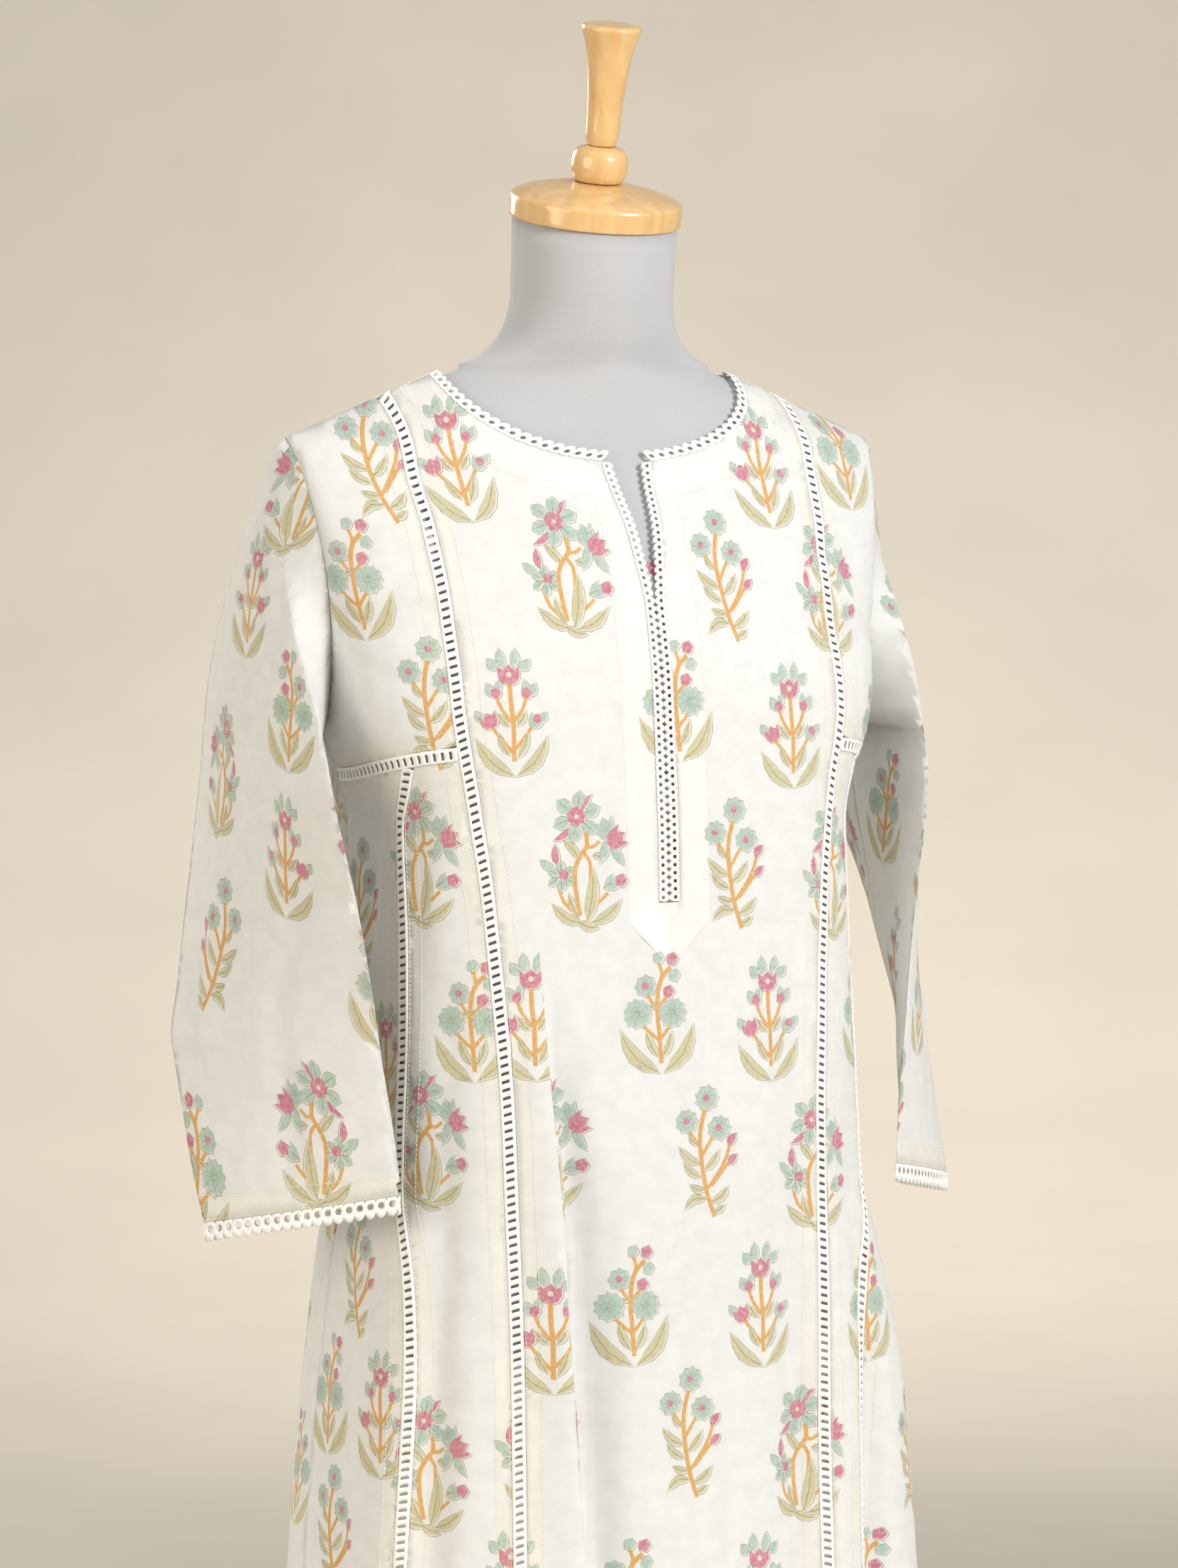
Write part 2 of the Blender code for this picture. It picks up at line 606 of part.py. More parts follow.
def sleeve_ring(drop, side, extend=0.0):
    """Points round the sleeve at one drop, from the front of its inner seam to the back."""
    place = {column: read_row(SLEEVE, SLEEVE_COLUMNS, drop, column) for column in SLEEVE_COLUMNS}
    open_row = drop < UNDERARM_DROP + 1e-6
    back_drop = drop if open_row else place["back_drop"]
    front = np.array((place["front_x"], place["front_y"], -drop - extend))
    back = np.array((place["back_x"], place["back_y"], -back_drop - extend))
    chord = back - front
    out = np.array((chord[1], -chord[0], 0.0))
    out /= np.linalg.norm(out)
    if open_row:
        seam_front = armhole_seam(drop, 1, side)
        seam_back = armhole_seam(drop, -1, side)
        swell = 0.0
    else:
        seam_front = 0.5 * (front + back) - out * place["inner"]
        seam_back = seam_front
        swell = place["inner"]
    ring = []
    for i in range(SLEEVE_FLAP_STEPS):
        t = i / SLEEVE_FLAP_STEPS
        bend = swell * t * (1.0 - t)
        ring.append(seam_front + (front - seam_front) * t - out * bend)
    for i in range(SLEEVE_FACE_STEPS + 1):
        t = i / SLEEVE_FACE_STEPS
        ring.append(front + chord * t + out * place["outer"] * 4.0 * t * (1.0 - t))
    for i in range(SLEEVE_FLAP_STEPS):
        t = (i + 1) / SLEEVE_FLAP_STEPS
        bend = swell * t * (1.0 - t)
        ring.append(back + (seam_back - back) * t - out * bend)
    return [(side * p[0], p[1], NECK_POINT_HEIGHT + p[2]) for p in ring]


def make_sleeves():
    for side in (-1, 1):
        label = side_name(side)
        tip = (side * (SHOULDER_HALF + SLEEVE_END_GAP), RIDGE_Y,
               NECK_POINT_HEIGHT - SHOULDER_DROP)
        drops = [slanted(row, 1.0, 1) for row in ARMHOLE_ROWS]
        drops[-1] = UNDERARM_DROP
        rings = [sleeve_ring(drop, side) for drop in (*drops, *SLEEVE_ROWS)]
        lattice = [[tip] * len(rings[0])] + rings
        cloth_wall("sleeve_" + label, [lattice], "cloth")
        lace = [sleeve_ring(SLEEVE_ROWS[-1], side, step) for step in (2 * SEAM, CUFF_LACE_WIDTH)]
        cloth_wall("cuff_lace_" + label, [lace], "picot_lace", TRIM_WALL)


def neck_rail(offset, face, side):
    """Edge of the neck hole, moved into the hole, from the shoulder to the middle."""
    rise = offset * SHOULDER_DROP / (SHOULDER_HALF - NECK_HALF)
    depth = FRONT_NECK_DROP if face > 0 else BACK_NECK_DROP
    half = NECK_HALF - offset
    deep = depth - offset + rise
    corner = SLIT_TOP_HALF - offset if face > 0 else 0.0
    angles = neck_angles(face)
    stretch = math.acos(corner / half) / angles[-1]
    rail = []
    for angle in [0.0] + [angle * stretch for angle in angles]:
        drop = -rise + deep * math.sin(angle)
        rail.append(cloth_point(drop, run_at_x(drop, face, side, half * math.cos(angle)),
                                face, side, level=True))
    return rail


def slit_rail(offset, side, rows):
    rail = []
    for drop in rows:
        x = max(neck_half(drop, 1) - offset, SEAM)
        rail.append(cloth_point(drop, run_at_x(drop, 1, side, x), 1, side, level=True))
    return rail


def make_neck_lace():
    """One strip: up the right of the slit, round the neck and down the left of the slit."""
    slit_rows = rows_between(FRONT_NECK_DROP, SLIT_BOTTOM_DROP - 2 * SEAM)[1:]
    rails = []
    for offset in (2 * SEAM, NECK_LACE_WIDTH):
        rail = {}
        for side in (-1, 1):
            front = neck_rail(offset, 1, side)
            rear = neck_rail(offset, -1, side)
            rail[side] = rear[::-1][:-1] + front + slit_rail(offset, side, slit_rows)
        rails.append(rail[-1][::-1] + rail[1][1:])
    cloth_wall("neck_lace", [rails], "picot_lace", TRIM_WALL)


def make_neck_facing():
    """Facing under the centre front, from that panel's own points moved inwards."""
    halves = []
    for side in (-1, 1):
        inner, split, outer = centre_edges(side)
        top = first_drop(lambda drop: outer(drop) - inner(drop) - FACING_RIDGE_GAP)
        lattice = []
        for drop in centre_rows(top, FACING_V_DROP) + [FACING_POINT_DROP]:
            start = inner(drop)
            end = min(split(drop), seam_run(drop, 1, side) - FACING_RIDGE_GAP)
            if drop == FACING_POINT_DROP:
                end = start
            lattice.append([cloth_point(drop, run, 1, side, -FACING_DEPTH)
                            for run in spread(start, end, FACING_COLUMNS)])
        halves.append(lattice)
    cloth_wall("neck_facing", halves, "facing_cloth", TRIM_WALL)


def form_clear(drop):
    """Room between cloth and form: little at the shoulders, more below the bust."""
    if drop < 0.100:
        return FORM_CLEAR
    if drop < 0.300:
        return FORM_CLEAR + (FORM_WAIST_CLEAR - FORM_CLEAR) * smooth_step((drop - 0.1) / 0.2)
    return FORM_WAIST_CLEAR + FORM_LOWER_CLEAR * smooth_step((drop - 0.5) / 0.1)


def form_ring(drop, steps):
    """Ring of the form, one closed turn starting at the middle of the back."""
    if drop < 0.0:
        rise = -drop
        half, front, back, middle, square = (read_row(NECK, NECK_COLUMNS, rise, column)
                                             for column in NECK_COLUMNS[1:])
        ends = {1: middle, -1: middle}
        depth = {1: middle - front, -1: middle + back}
        squares = {1: square, -1: square}
    else:
        clear = form_clear(drop)
        half = min(half_width(drop, -1), half_width(drop, 1)) - clear
        if drop <= SHOULDER_DROP:
            half -= clear * FORM_SHOULDER_SHARE
        elif drop <= UNDERARM_DROP:
            half -= FORM_ARMHOLE_CLEAR
        ends = {face: edge_y(drop, face) for face in (1, -1)}
        depth = {1: -read_row(SECTIONS, SECTION_COLUMNS, drop, "front") + clear,
                 -1: read_row(SECTIONS, SECTION_COLUMNS, drop, "back") - clear}
        squares = {1: read_row(SECTIONS, SECTION_COLUMNS, drop, "front_square"),
                   -1: read_row(SECTIONS, SECTION_COLUMNS, drop, "back_square")}
    ring = []
    for face in (-1, 1):
        points = quarter(half, depth[face], ends[face], squares[face])
        runs = np.hypot(*np.diff(points, axis=0).T)
        along = np.concatenate(([0.0], np.cumsum(runs)))
        picked = [[float(np.interp(along[-1] * i / steps, along, points[:, k])) for k in (0, 1)]
                  for i in range(steps + 1)]
        ring.append(picked)
    rear, fore = ring
    loop = [(x, y) for x, y in rear]
    loop += [(x, y) for x, y in fore[::-1]]
    loop += [(-x, y) for x, y in fore[1:]]
    loop += [(-x, y) for x, y in rear[::-1][:-1]]
    return [(x, y, NECK_POINT_HEIGHT - drop) for x, y in loop]


def close_rings(data, rings):
    """Closed body over rings, flat at both ends."""
    rows = [[data.verts.new(point) for point in ring] for ring in rings]
    for upper, lower in zip(rows, rows[1:]):
        for i in range(len(upper)):
            j = (i + 1) % len(upper)
            data.faces.new((upper[i], upper[j], lower[j], lower[i]))
    data.faces.new(rows[0])
    data.faces.new(rows[-1][::-1])
    bmesh.ops.remove_doubles(data, verts=data.verts, dist=0.00002)
    bmesh.ops.recalc_face_normals(data, faces=data.faces)
    for face in data.faces:
        face.smooth = len(face.verts) <= 4


def make_form():
    steps = 5
    drops = [-row[0] for row in NECK[::-1]]
    drops += [*FORM_DROPS, FORM_BOTTOM_DROP]
    top = []
    low = form_ring(drops[0], steps)
    for x, y, _ in low:
        angle = math.atan2(x, -(y - NECK[-1][4]))
        flat_y = -NECK_TOP_RADIUS * math.cos(angle)
        rise = NECK_TOP_RISE + flat_y * math.sin(CAP_TILT)
        top.append((NECK_TOP_RADIUS * math.sin(angle), NECK_TOP_Y + flat_y * math.cos(CAP_TILT),
                    NECK_POINT_HEIGHT + rise))
    rings = [top] + [form_ring(drop, steps) for drop in drops]
    data = bmesh.new()
    close_rings(data, rings)
    new_object("form_torso", data, "form_jersey")


def turned_profile(data, profile, segments, centre, tilt=0.0):
    """Body turned round a vertical axis, then tipped forwards about its foot."""
    rings = []
    for radius, height in profile:
        ring = []
        for i in range(segments):
            angle = 2.0 * math.pi * i / segments
            x = radius * math.cos(angle)
            y = radius * math.sin(angle)
            ring.append((centre[0] + x,
                         centre[1] + y * math.cos(tilt) - height * math.sin(tilt),
                         centre[2] + y * math.sin(tilt) + height * math.cos(tilt)))
        rings.append(ring)
    close_rings(data, rings[::-1])


def arc_profile(radius, height, bulge, steps):
    """Quarter turn from an edge up to a rounded top."""
    points = []
    for i in range(steps + 1):
        angle = 0.5 * math.pi * i / steps
        points.append((radius - bulge * (1.0 - math.cos(angle)), height + bulge * math.sin(angle)))
    return points


def make_cap_and_finial():
    foot = (0.0, NECK_TOP_Y, NECK_POINT_HEIGHT + NECK_TOP_RISE)
    cap = [(CAP_RADIUS - 0.001, CAP_GAP), (CAP_RADIUS, 0.002), (CAP_RADIUS, CAP_EDGE - 0.003)]
    cap += [(radius, CAP_EDGE + rise) for radius, rise in CAP_TOP]
    ball_foot = CAP_EDGE + CAP_DOME + CAP_GAP
    ball = [(radius, ball_foot + rise) for radius, rise in BALL]
    handle_foot = ball_foot + BALL[-1][1] + CAP_GAP
    handle = [(radius, handle_foot + rise) for radius, rise in HANDLE]
    for name, profile, steps in (("neck_cap", cap, CAP_STEPS), ("finial_ball", ball, FINIAL_STEPS),
                                 ("finial_handle", handle, FINIAL_STEPS)):
        data = bmesh.new()
        turned_profile(data, profile, steps, foot, CAP_TILT)
        new_object(name, data, "turned_wood")


def make_stand():
    top = NECK_POINT_HEIGHT - FORM_BOTTOM_DROP - CAP_GAP
    foot = BASE_THICK + CAP_GAP
    pole = [(POLE_RADIUS, foot), (POLE_RADIUS, top)]
    data = bmesh.new()
    turned_profile(data, pole, POLE_STEPS, (0.0, 0.0, 0.0))
    new_object("pole", data, "painted_steel")

    disc = [(BASE_RADIUS, 0.0)]
    disc += [(radius, height) for radius, height in
             arc_profile(BASE_RADIUS, BASE_THICK - BASE_EDGE, BASE_EDGE, 3)]
    data = bmesh.new()
    turned_profile(data, disc, BASE_STEPS, (0.0, 0.0, 0.0))
    new_object("base", data, "base_paint")


def build():
    clear_scene()
    make_front_centre()
    make_front_sides()
    make_back()
    make_sleeves()
    make_neck_lace()
    make_neck_facing()
    make_form()
    make_cap_and_finial()
    make_stand()


build()
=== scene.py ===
import math
import bpy
import bmesh
import numpy as np
from mathutils import Matrix, Vector, geometry


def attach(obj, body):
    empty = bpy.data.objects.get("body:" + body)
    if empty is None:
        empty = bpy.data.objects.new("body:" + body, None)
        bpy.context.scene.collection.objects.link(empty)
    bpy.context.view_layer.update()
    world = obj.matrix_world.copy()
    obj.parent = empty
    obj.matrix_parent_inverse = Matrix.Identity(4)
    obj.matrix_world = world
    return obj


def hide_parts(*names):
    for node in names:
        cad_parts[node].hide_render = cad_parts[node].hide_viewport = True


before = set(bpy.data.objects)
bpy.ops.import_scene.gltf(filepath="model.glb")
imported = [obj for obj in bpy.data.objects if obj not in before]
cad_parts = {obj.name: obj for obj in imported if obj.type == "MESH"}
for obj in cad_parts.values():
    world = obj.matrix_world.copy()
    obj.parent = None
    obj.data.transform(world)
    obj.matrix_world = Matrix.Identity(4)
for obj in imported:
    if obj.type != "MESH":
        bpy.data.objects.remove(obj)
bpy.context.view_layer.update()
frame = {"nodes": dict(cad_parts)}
mm = 0.001

# the camera stands to the wearer's right, a little above the neckline
shot = {
    "azimuth": -24.0,
    "distance": 3.2,
    "height": 1.348,
    "aim": (-0.0018, 1.1285),   # shift across and height of the point aimed at
    "fieldHeight": 17.8,        # degrees
}


def makeCamera():
    camera = bpy.data.objects.new("camera", bpy.data.cameras.new("camera"))
    bpy.context.scene.collection.objects.link(camera)
    turn = math.radians(shot["azimuth"])
    away = Vector((math.sin(turn), -math.cos(turn), 0.0))
    across = Vector((math.cos(turn), math.sin(turn), 0.0))
    camera.location = away * shot["distance"] + Vector((0.0, 0.0, shot["height"]))
    target = across * -shot["aim"][0] + Vector((0.0, 0.0, shot["aim"][1]))
    camera.rotation_euler = (target - camera.location).to_track_quat("-Z", "Y").to_euler()
    camera.data.sensor_fit = "VERTICAL"
    camera.data.sensor_height = 24.0
    camera.data.lens = 12.0 / math.tan(math.radians(shot["fieldHeight"]) / 2.0)
    camera.data.dof.use_dof = False
    bpy.context.scene.camera = camera


makeCamera()
print("camera placed")

# sizes of the cloth, in metres, as in the solids
kurta = {
    "neckPoint": 1.390,
    "length": 1.090,
    "neckHalf": 0.106,
    "shoulderHalf": 0.203,
    "shoulderDrop": 0.040,
    "underarmDrop": 0.222,
    "underarmHalf": 0.178,
    "ridge": 0.005,
    "hollowFront": 0.035,
    "hollowBack": 0.040,
    "frontNeck": 0.055,
    "backNeck": 0.020,
    "slitTop": 0.0165,
    "slitHalf": 0.0065,
    "slitNarrow": 0.141,
    "slitBottom": 0.327,
    "ladderHalf": 0.004,
    "crossDrop": 0.232,
    "crossSlant": 0.019,
    "facingBand": 0.023,
    "facingHalf": 0.0277,
    "facingSquare": 0.338,
    "facingPoint": 0.366,
    "seam": 0.0002,
    "wall": 0.0005,
}

# drop, half width on the wearer's right and left, depth in front and behind, squareness of both
sectionRows = (
    (-0.008, 0.178, 0.178, 0.0575, 0.052, 1.20, 1.30),
    (0.000, 0.178, 0.178, 0.0580, 0.055, 1.20, 1.30),
    (0.020, 0.178, 0.178, 0.0595, 0.066, 1.30, 1.40),
    (0.040, 0.178, 0.178, 0.0605, 0.076, 1.50, 1.60),
    (0.055, 0.178, 0.178, 0.0620, 0.082, 1.60, 1.75),
    (0.100, 0.178, 0.178, 0.0900, 0.097, 1.65, 2.10),
    (0.150, 0.178, 0.178, 0.1070, 0.106, 2.00, 2.40),
    (0.200, 0.178, 0.178, 0.1170, 0.111, 2.90, 2.40),
    (0.222, 0.178, 0.178, 0.1190, 0.112, 3.20, 2.40),
    (0.250, 0.168, 0.168, 0.1215, 0.113, 3.20, 2.40),
    (0.281, 0.161, 0.161, 0.1245, 0.114, 3.20, 2.30),
    (0.349, 0.163, 0.163, 0.1275, 0.118, 3.20, 2.30),
    (0.417, 0.165, 0.165, 0.1320, 0.124, 3.20, 2.30),
    (0.503, 0.166, 0.168, 0.1370, 0.131, 3.20, 2.30),
    (0.557, 0.174, 0.182, 0.1390, 0.136, 3.20, 2.30),
    (0.607, 0.180, 0.194, 0.1410, 0.140, 3.20, 2.30),
    (0.661, 0.186, 0.205, 0.1425, 0.143, 3.10, 2.30),
    (0.757, 0.194, 0.215, 0.1470, 0.149, 3.00, 2.30),
    (1.090, 0.222, 0.246, 0.1620, 0.166, 2.80, 2.30),
)

# drop, half width of the strip's middle on the wearer's right and left
princessRows = (
    (0.000, 0.1385, 0.1385), (0.060, 0.1376, 0.1376), (0.100, 0.1340, 0.1340),
    (0.150, 0.1313, 0.1313), (0.200, 0.1310, 0.1310), (0.265, 0.1220, 0.1220),
    (0.330, 0.1145, 0.1145), (0.470, 0.1067, 0.1067), (0.650, 0.1050, 0.1050),
    (1.090, 0.1120, 0.1120),
)
sideRows = (
    (0.230, 0.1550, 0.1520), (0.304, 0.1545, 0.1490), (0.521, 0.1590, 0.1500),
    (0.566, 0.1600, 0.1440), (0.734, 0.1700, 0.1380), (1.090, 0.1930, 0.1600),
)

# face, side, share along the half section at start and hem, widths inwards and outwards,
# drop where it starts and where it is full, height
foldRows = (
    (1, -1, 0.346, 0.122, 0.015, 0.060, 0.340, 0.540, 0.0100),
    (1, -1, 0.321, 0.097, 0.080, 0.012, 0.340, 0.540, -0.0120),
    (1, -1, 0.580, 0.560, 0.055, 0.050, 0.250, 0.700, -0.0090),
    (1, -1, 0.830, 0.800, 0.050, 0.060, 0.500, 0.800, -0.0050),
    (1, 1, 0.330, 0.230, 0.050, 0.055, 0.300, 0.760, -0.0090),
    (1, 1, 0.520, 0.450, 0.040, 0.034, 0.460, 0.740, -0.0120),
    (1, 1, 0.760, 0.720, 0.060, 0.060, 0.480, 0.800, -0.0060),
    (-1, -1, 0.300, 0.280, 0.070, 0.060, 0.330, 0.850, -0.0080),
    (-1, -1, 0.680, 0.720, 0.070, 0.070, 0.400, 0.850, -0.0070),
    (-1, 1, 0.360, 0.400, 0.060, 0.070, 0.300, 0.850, -0.0080),
    (-1, 1, 0.740, 0.760, 0.070, 0.060, 0.420, 0.850, -0.0070),
)

# soft creases laid on the body: face, from (run, drop), to (run, drop), width, height
creaseRows = (
    (1, -0.060, 0.075, -0.175, 0.110, 0.009, -0.0026),
    (1, -0.120, 0.100, -0.200, 0.128, 0.010, -0.0022),
    (1, -0.130, 0.150, -0.215, 0.158, 0.010, -0.0024),
    (1, -0.150, 0.190, -0.225, 0.176, 0.009, -0.0020),
    (1, 0.130, 0.110, 0.205, 0.135, 0.010, -0.0022),
    (1, 0.140, 0.160, 0.220, 0.165, 0.010, -0.0022),
    (1, -0.012, 0.335, -0.045, 0.470, 0.008, -0.0024),
    (1, 0.014, 0.340, 0.040, 0.450, 0.007, -0.0020),
    (1, -0.165, 0.245, -0.160, 0.400, 0.010, -0.0024),
    (1, -0.185, 0.250, -0.190, 0.350, 0.008, -0.0022),
    (1, -0.205, 0.255, -0.215, 0.360, 0.009, -0.0024),
    (1, 0.190, 0.250, 0.200, 0.380, 0.010, -0.0022),
    (1, 0.165, 0.250, 0.165, 0.420, 0.009, -0.0020),
    (1, -0.060, 0.560, -0.045, 1.060, 0.012, -0.0022),
    (1, 0.020, 0.620, 0.010, 1.080, 0.014, -0.0020),
    (-1, -0.130, 0.085, -0.190, 0.120, 0.012, -0.0022),
    (-1, 0.130, 0.085, 0.190, 0.120, 0.012, -0.0022),
    (-1, -0.140, 0.150, -0.205, 0.165, 0.011, -0.0020),
    (-1, 0.140, 0.150, 0.205, 0.165, 0.011, -0.0020),
    (-1, -0.020, 0.240, -0.035, 0.620, 0.014, -0.0024),
    (-1, 0.045, 0.260, 0.060, 0.600, 0.014, -0.0022),
    (-1, 0.100, 0.300, 0.115, 0.900, 0.014, -0.0020),
)


def readColumn(rows, column, places):
    stations = np.array([row[0] for row in rows])
    values = np.array([row[column] for row in rows])
    gaps = np.diff(stations)
    slopes = np.diff(values) / gaps
    middles = [2 * a * b / (a + b) if a * b > 0 else 0.0 for a, b in zip(slopes, slopes[1:])]
    tangents = np.array([slopes[0], *middles, slopes[-1]])
    places = np.clip(places, stations[0], stations[-1])
    low = np.clip(np.searchsorted(stations, places, side="right") - 1, 0, len(gaps) - 1)
    gap = gaps[low]
    t = (places - stations[low]) / gap
    return (values[low] * (1 + 2 * t) * (1 - t) ** 2 + tangents[low] * gap * t * (1 - t) ** 2
            + values[low + 1] * t * t * (3 - 2 * t) + tangents[low + 1] * gap * t * t * (t - 1))


def smoothStep(value):
    value = np.clip(value, 0.0, 1.0)
    return value * value * (3.0 - 2.0 * value)


def halfWidth(drop, side):
    ridge = kurta["neckHalf"] + (kurta["shoulderHalf"] - kurta["neckHalf"]) * drop / kurta["shoulderDrop"]
    t = np.clip((drop - kurta["shoulderDrop"]) / (kurta["underarmDrop"] - kurta["shoulderDrop"]), 0, 1)
    arm = kurta["shoulderHalf"] - (kurta["shoulderHalf"] - kurta["underarmHalf"]) * t ** 0.8
    skirt = readColumn(sectionRows, 1 if side < 0 else 2, drop)
    return np.where(drop <= kurta["shoulderDrop"], ridge,
                    np.where(drop <= kurta["underarmDrop"], arm, skirt))


def hollow(drop):
    t = (drop - kurta["shoulderDrop"]) / (kurta["underarmDrop"] - kurta["shoulderDrop"])
    return np.where((t > 0) & (t < 1), np.abs(np.sin(np.pi * np.clip(t, 0, 1))) ** 0.7, 0.0)


def edgeDepth(drop, face):
    reach = -kurta["hollowFront"] if face > 0 else kurta["hollowBack"]
    return kurta["ridge"] + reach * hollow(drop)


dropStep = 0.001
firstDrop = -0.008
shareCount = 161


def halfBody(face, side):
    # one quarter of the body: points and outward normals by drop and share of the run
    drops = firstDrop + dropStep * np.arange(1106)
    shares = np.linspace(0.0, 1.0, shareCount)
    depth = readColumn(sectionRows, 3 if face > 0 else 4, drops)[:, None]
    power = 2.0 / readColumn(sectionRows, 5 if face > 0 else 6, drops)[:, None]
    edge = edgeDepth(drops, face)[:, None]
    angle = np.linspace(0.0, 0.5 * np.pi, 141)[None, :]
    x = halfWidth(drops, side)[:, None] * np.abs(np.sin(angle)) ** power
    y = edge + (-face * depth - edge) * np.abs(np.cos(angle)) ** power
    run = np.concatenate((np.zeros((len(drops), 1)),
                          np.cumsum(np.hypot(np.diff(x, axis=1), np.diff(y, axis=1)), axis=1)), axis=1)
    length = run[:, -1]
    xs = np.array([np.interp(shares * total, r, row) for total, r, row in zip(length, run, x)])
    ys = np.array([np.interp(shares * total, r, row) for total, r, row in zip(length, run, y)])
    push = np.zeros_like(xs)
    for foldFace, foldSide, atStart, atHem, inwards, outwards, top, full, height in foldRows:
        if (foldFace, foldSide) != (face, side):
            continue
        way = (drops[:, None] - top) / (kurta["length"] - top)
        offset = shares[None, :] - (atStart + (atHem - atStart) * way)
        width = np.where(offset < 0, inwards, outwards)
        grown = smoothStep((drops[:, None] - top) / (full - top))
        push += height * grown * np.exp(-(offset / width) ** 2)
    tx, ty = np.gradient(xs, axis=1), np.gradient(ys, axis=1)
    size = np.maximum(np.hypot(tx, ty), 1e-9)
    xs, ys = xs + face * ty / size * push, ys - face * tx / size * push
    heights = np.repeat(kurta["neckPoint"] - drops[:, None], shareCount, axis=1)
    points = np.stack((side * xs, ys, heights), axis=2)
    normals = np.cross(np.gradient(points, axis=1), np.gradient(points, axis=0)) * -side * face
    normals /= np.maximum(np.linalg.norm(normals, axis=2, keepdims=True), 1e-12)
    return {"points": points, "normals": normals, "length": length, "run": run, "x": x}


body = {(face, side): halfBody(face, side) for face in (1, -1) for side in (-1, 1)}
print("body surface worked out")


def lookUp(grid, row, column):
    row = np.clip(row, 0, grid.shape[0] - 1.001)
    column = np.clip(column, 0, grid.shape[1] - 1.001)
    r, c = row.astype(int), column.astype(int)
    fr, fc = (row - r)[:, None], (column - c)[:, None]
    return ((grid[r, c] * (1 - fc) + grid[r, c + 1] * fc) * (1 - fr)
            + (grid[r + 1, c] * (1 - fc) + grid[r + 1, c + 1] * fc) * fr)


def creaseHeight(rows, u, v):
    height = np.zeros_like(u)
    for u0, v0, u1, v1, width, deep in rows:
        du, dv = u1 - u0, v1 - v0
        t = np.clip(((u - u0) * du + (v - v0) * dv) / (du * du + dv * dv), 0.0, 1.0)
        gap = np.hypot(u - u0 - t * du, v - v0 - t * dv)
        height += deep * np.exp(-(gap / width) ** 2) * np.sin(np.pi * (0.08 + 0.84 * t)) ** 0.8
    return height


def ripple(u, v):
    # faint unevenness of hanging cloth
    return 0.00035 * (np.sin(u * 61 + v * 17) * np.sin(v * 23 - u * 11)
                      + 0.7 * np.sin(u * 117 - v * 31 + 1.3) * np.sin(v * 47 + 0.7))


def bodyPoints(face, u, v, lift=0.0):
    # run across from the middle (wearer's left positive) and drop, to places in space
    u, v = np.atleast_1d(np.asarray(u, float)), np.atleast_1d(np.asarray(v, float))
    places, normals = np.zeros((len(u), 3)), np.zeros((len(u), 3))
    row = (v - firstDrop) / dropStep
    for side in (-1, 1):
        pick = (u < 0) if side < 0 else (u >= 0)
        if not pick.any():
            continue
        half = body[face, side]
        total = np.interp(row[pick], np.arange(len(half["length"])), half["length"])
        column = np.clip(np.abs(u[pick]) / total, 0, 1) * (shareCount - 1)
        places[pick] = lookUp(half["points"], row[pick], column)
        normals[pick] = lookUp(half["normals"], row[pick], column)
    rows = [crease[1:] for crease in creaseRows if crease[0] == face]
    calm = smoothStep((v - 0.02) / 0.08)
    push = creaseHeight(rows, u, v) + ripple(u, v) * calm + lift
    return places + normals * push[:, None]


def runAtX(drop, face, side, x):
    half = body[face, side]
    row = min(max((drop - firstDrop) / dropStep, 0.0), len(half["length"]) - 1.001)
    low = int(row)
    runs = [float(np.interp(x, half["x"][i], half["run"][i])) for i in (low, low + 1)]
    return runs[0] + (runs[1] - runs[0]) * (row - low)


def wholeRun(drop, face, side):
    half = body[face, side]
    row = (drop - firstDrop) / dropStep
    return float(np.interp(row, np.arange(len(half["length"])), half["length"]))


def stripRun(rows, drop, side, offset=0.0):
    x = float(readColumn(rows, 1 if side < 0 else 2, np.array([drop]))[0])
    edge = wholeRun(drop, 1, side) - kurta["seam"]
    if x >= float(halfWidth(np.array([drop]), side)[0]) - 1e-6:
        return edge
    return min(runAtX(drop, 1, side, x) + offset, edge)


def neckHalf(drop, face):
    depth = kurta["frontNeck"] if face > 0 else kurta["backNeck"]
    if drop < depth - 1e-7:
        curve = kurta["neckHalf"] * math.sqrt(max(1.0 - (drop / depth) ** 2, 0.0))
        return max(curve, kurta["slitTop"]) if face > 0 else curve
    if face < 0 or drop > kurta["slitBottom"]:
        return 0.0
    t = min((drop - depth) / (kurta["slitNarrow"] - depth), 1.0)
    return kurta["slitTop"] + (kurta["slitHalf"] - kurta["slitTop"]) * t


def crossDrop(run, side):
    # the cross strip dips towards the side seam
    share = run / wholeRun(kurta["crossDrop"], 1, side)
    return kurta["crossDrop"] + kurta["crossSlant"] * float(smoothStep((share - 0.42) / 0.58))


# block print: shapes in mm from the middle of each sprig, x to the right and y up
inks = {"cloth": 0, "outline": 1, "mustard": 2, "khaki": 3, "sage": 4, "rose": 5, "pale": 6, "vein": 1}
ink = {
    "outlineWidth": 0.72,
    "gap": 0.30,
    "leaf": 0.84,
    "slip": (0.46, -0.34),   # the outline block lands a little off the colours
    "veinWidth": 0.42,
    "petalVein": 0.36,
    "stemWidth": 2.9,
    "branchWidth": 2.2,
    "rayHalf": 0.18,
}


def disc(x, y, radius, count=9, lobes=0, wave=0.10):
    turn = np.linspace(0, 2 * np.pi, count if not lobes else 2 * lobes, endpoint=False)
    far = radius * (1 + (wave * np.cos(lobes * turn) if lobes else 0.0))
    return np.stack((x + far * np.cos(turn), y + far * np.sin(turn)), axis=1)


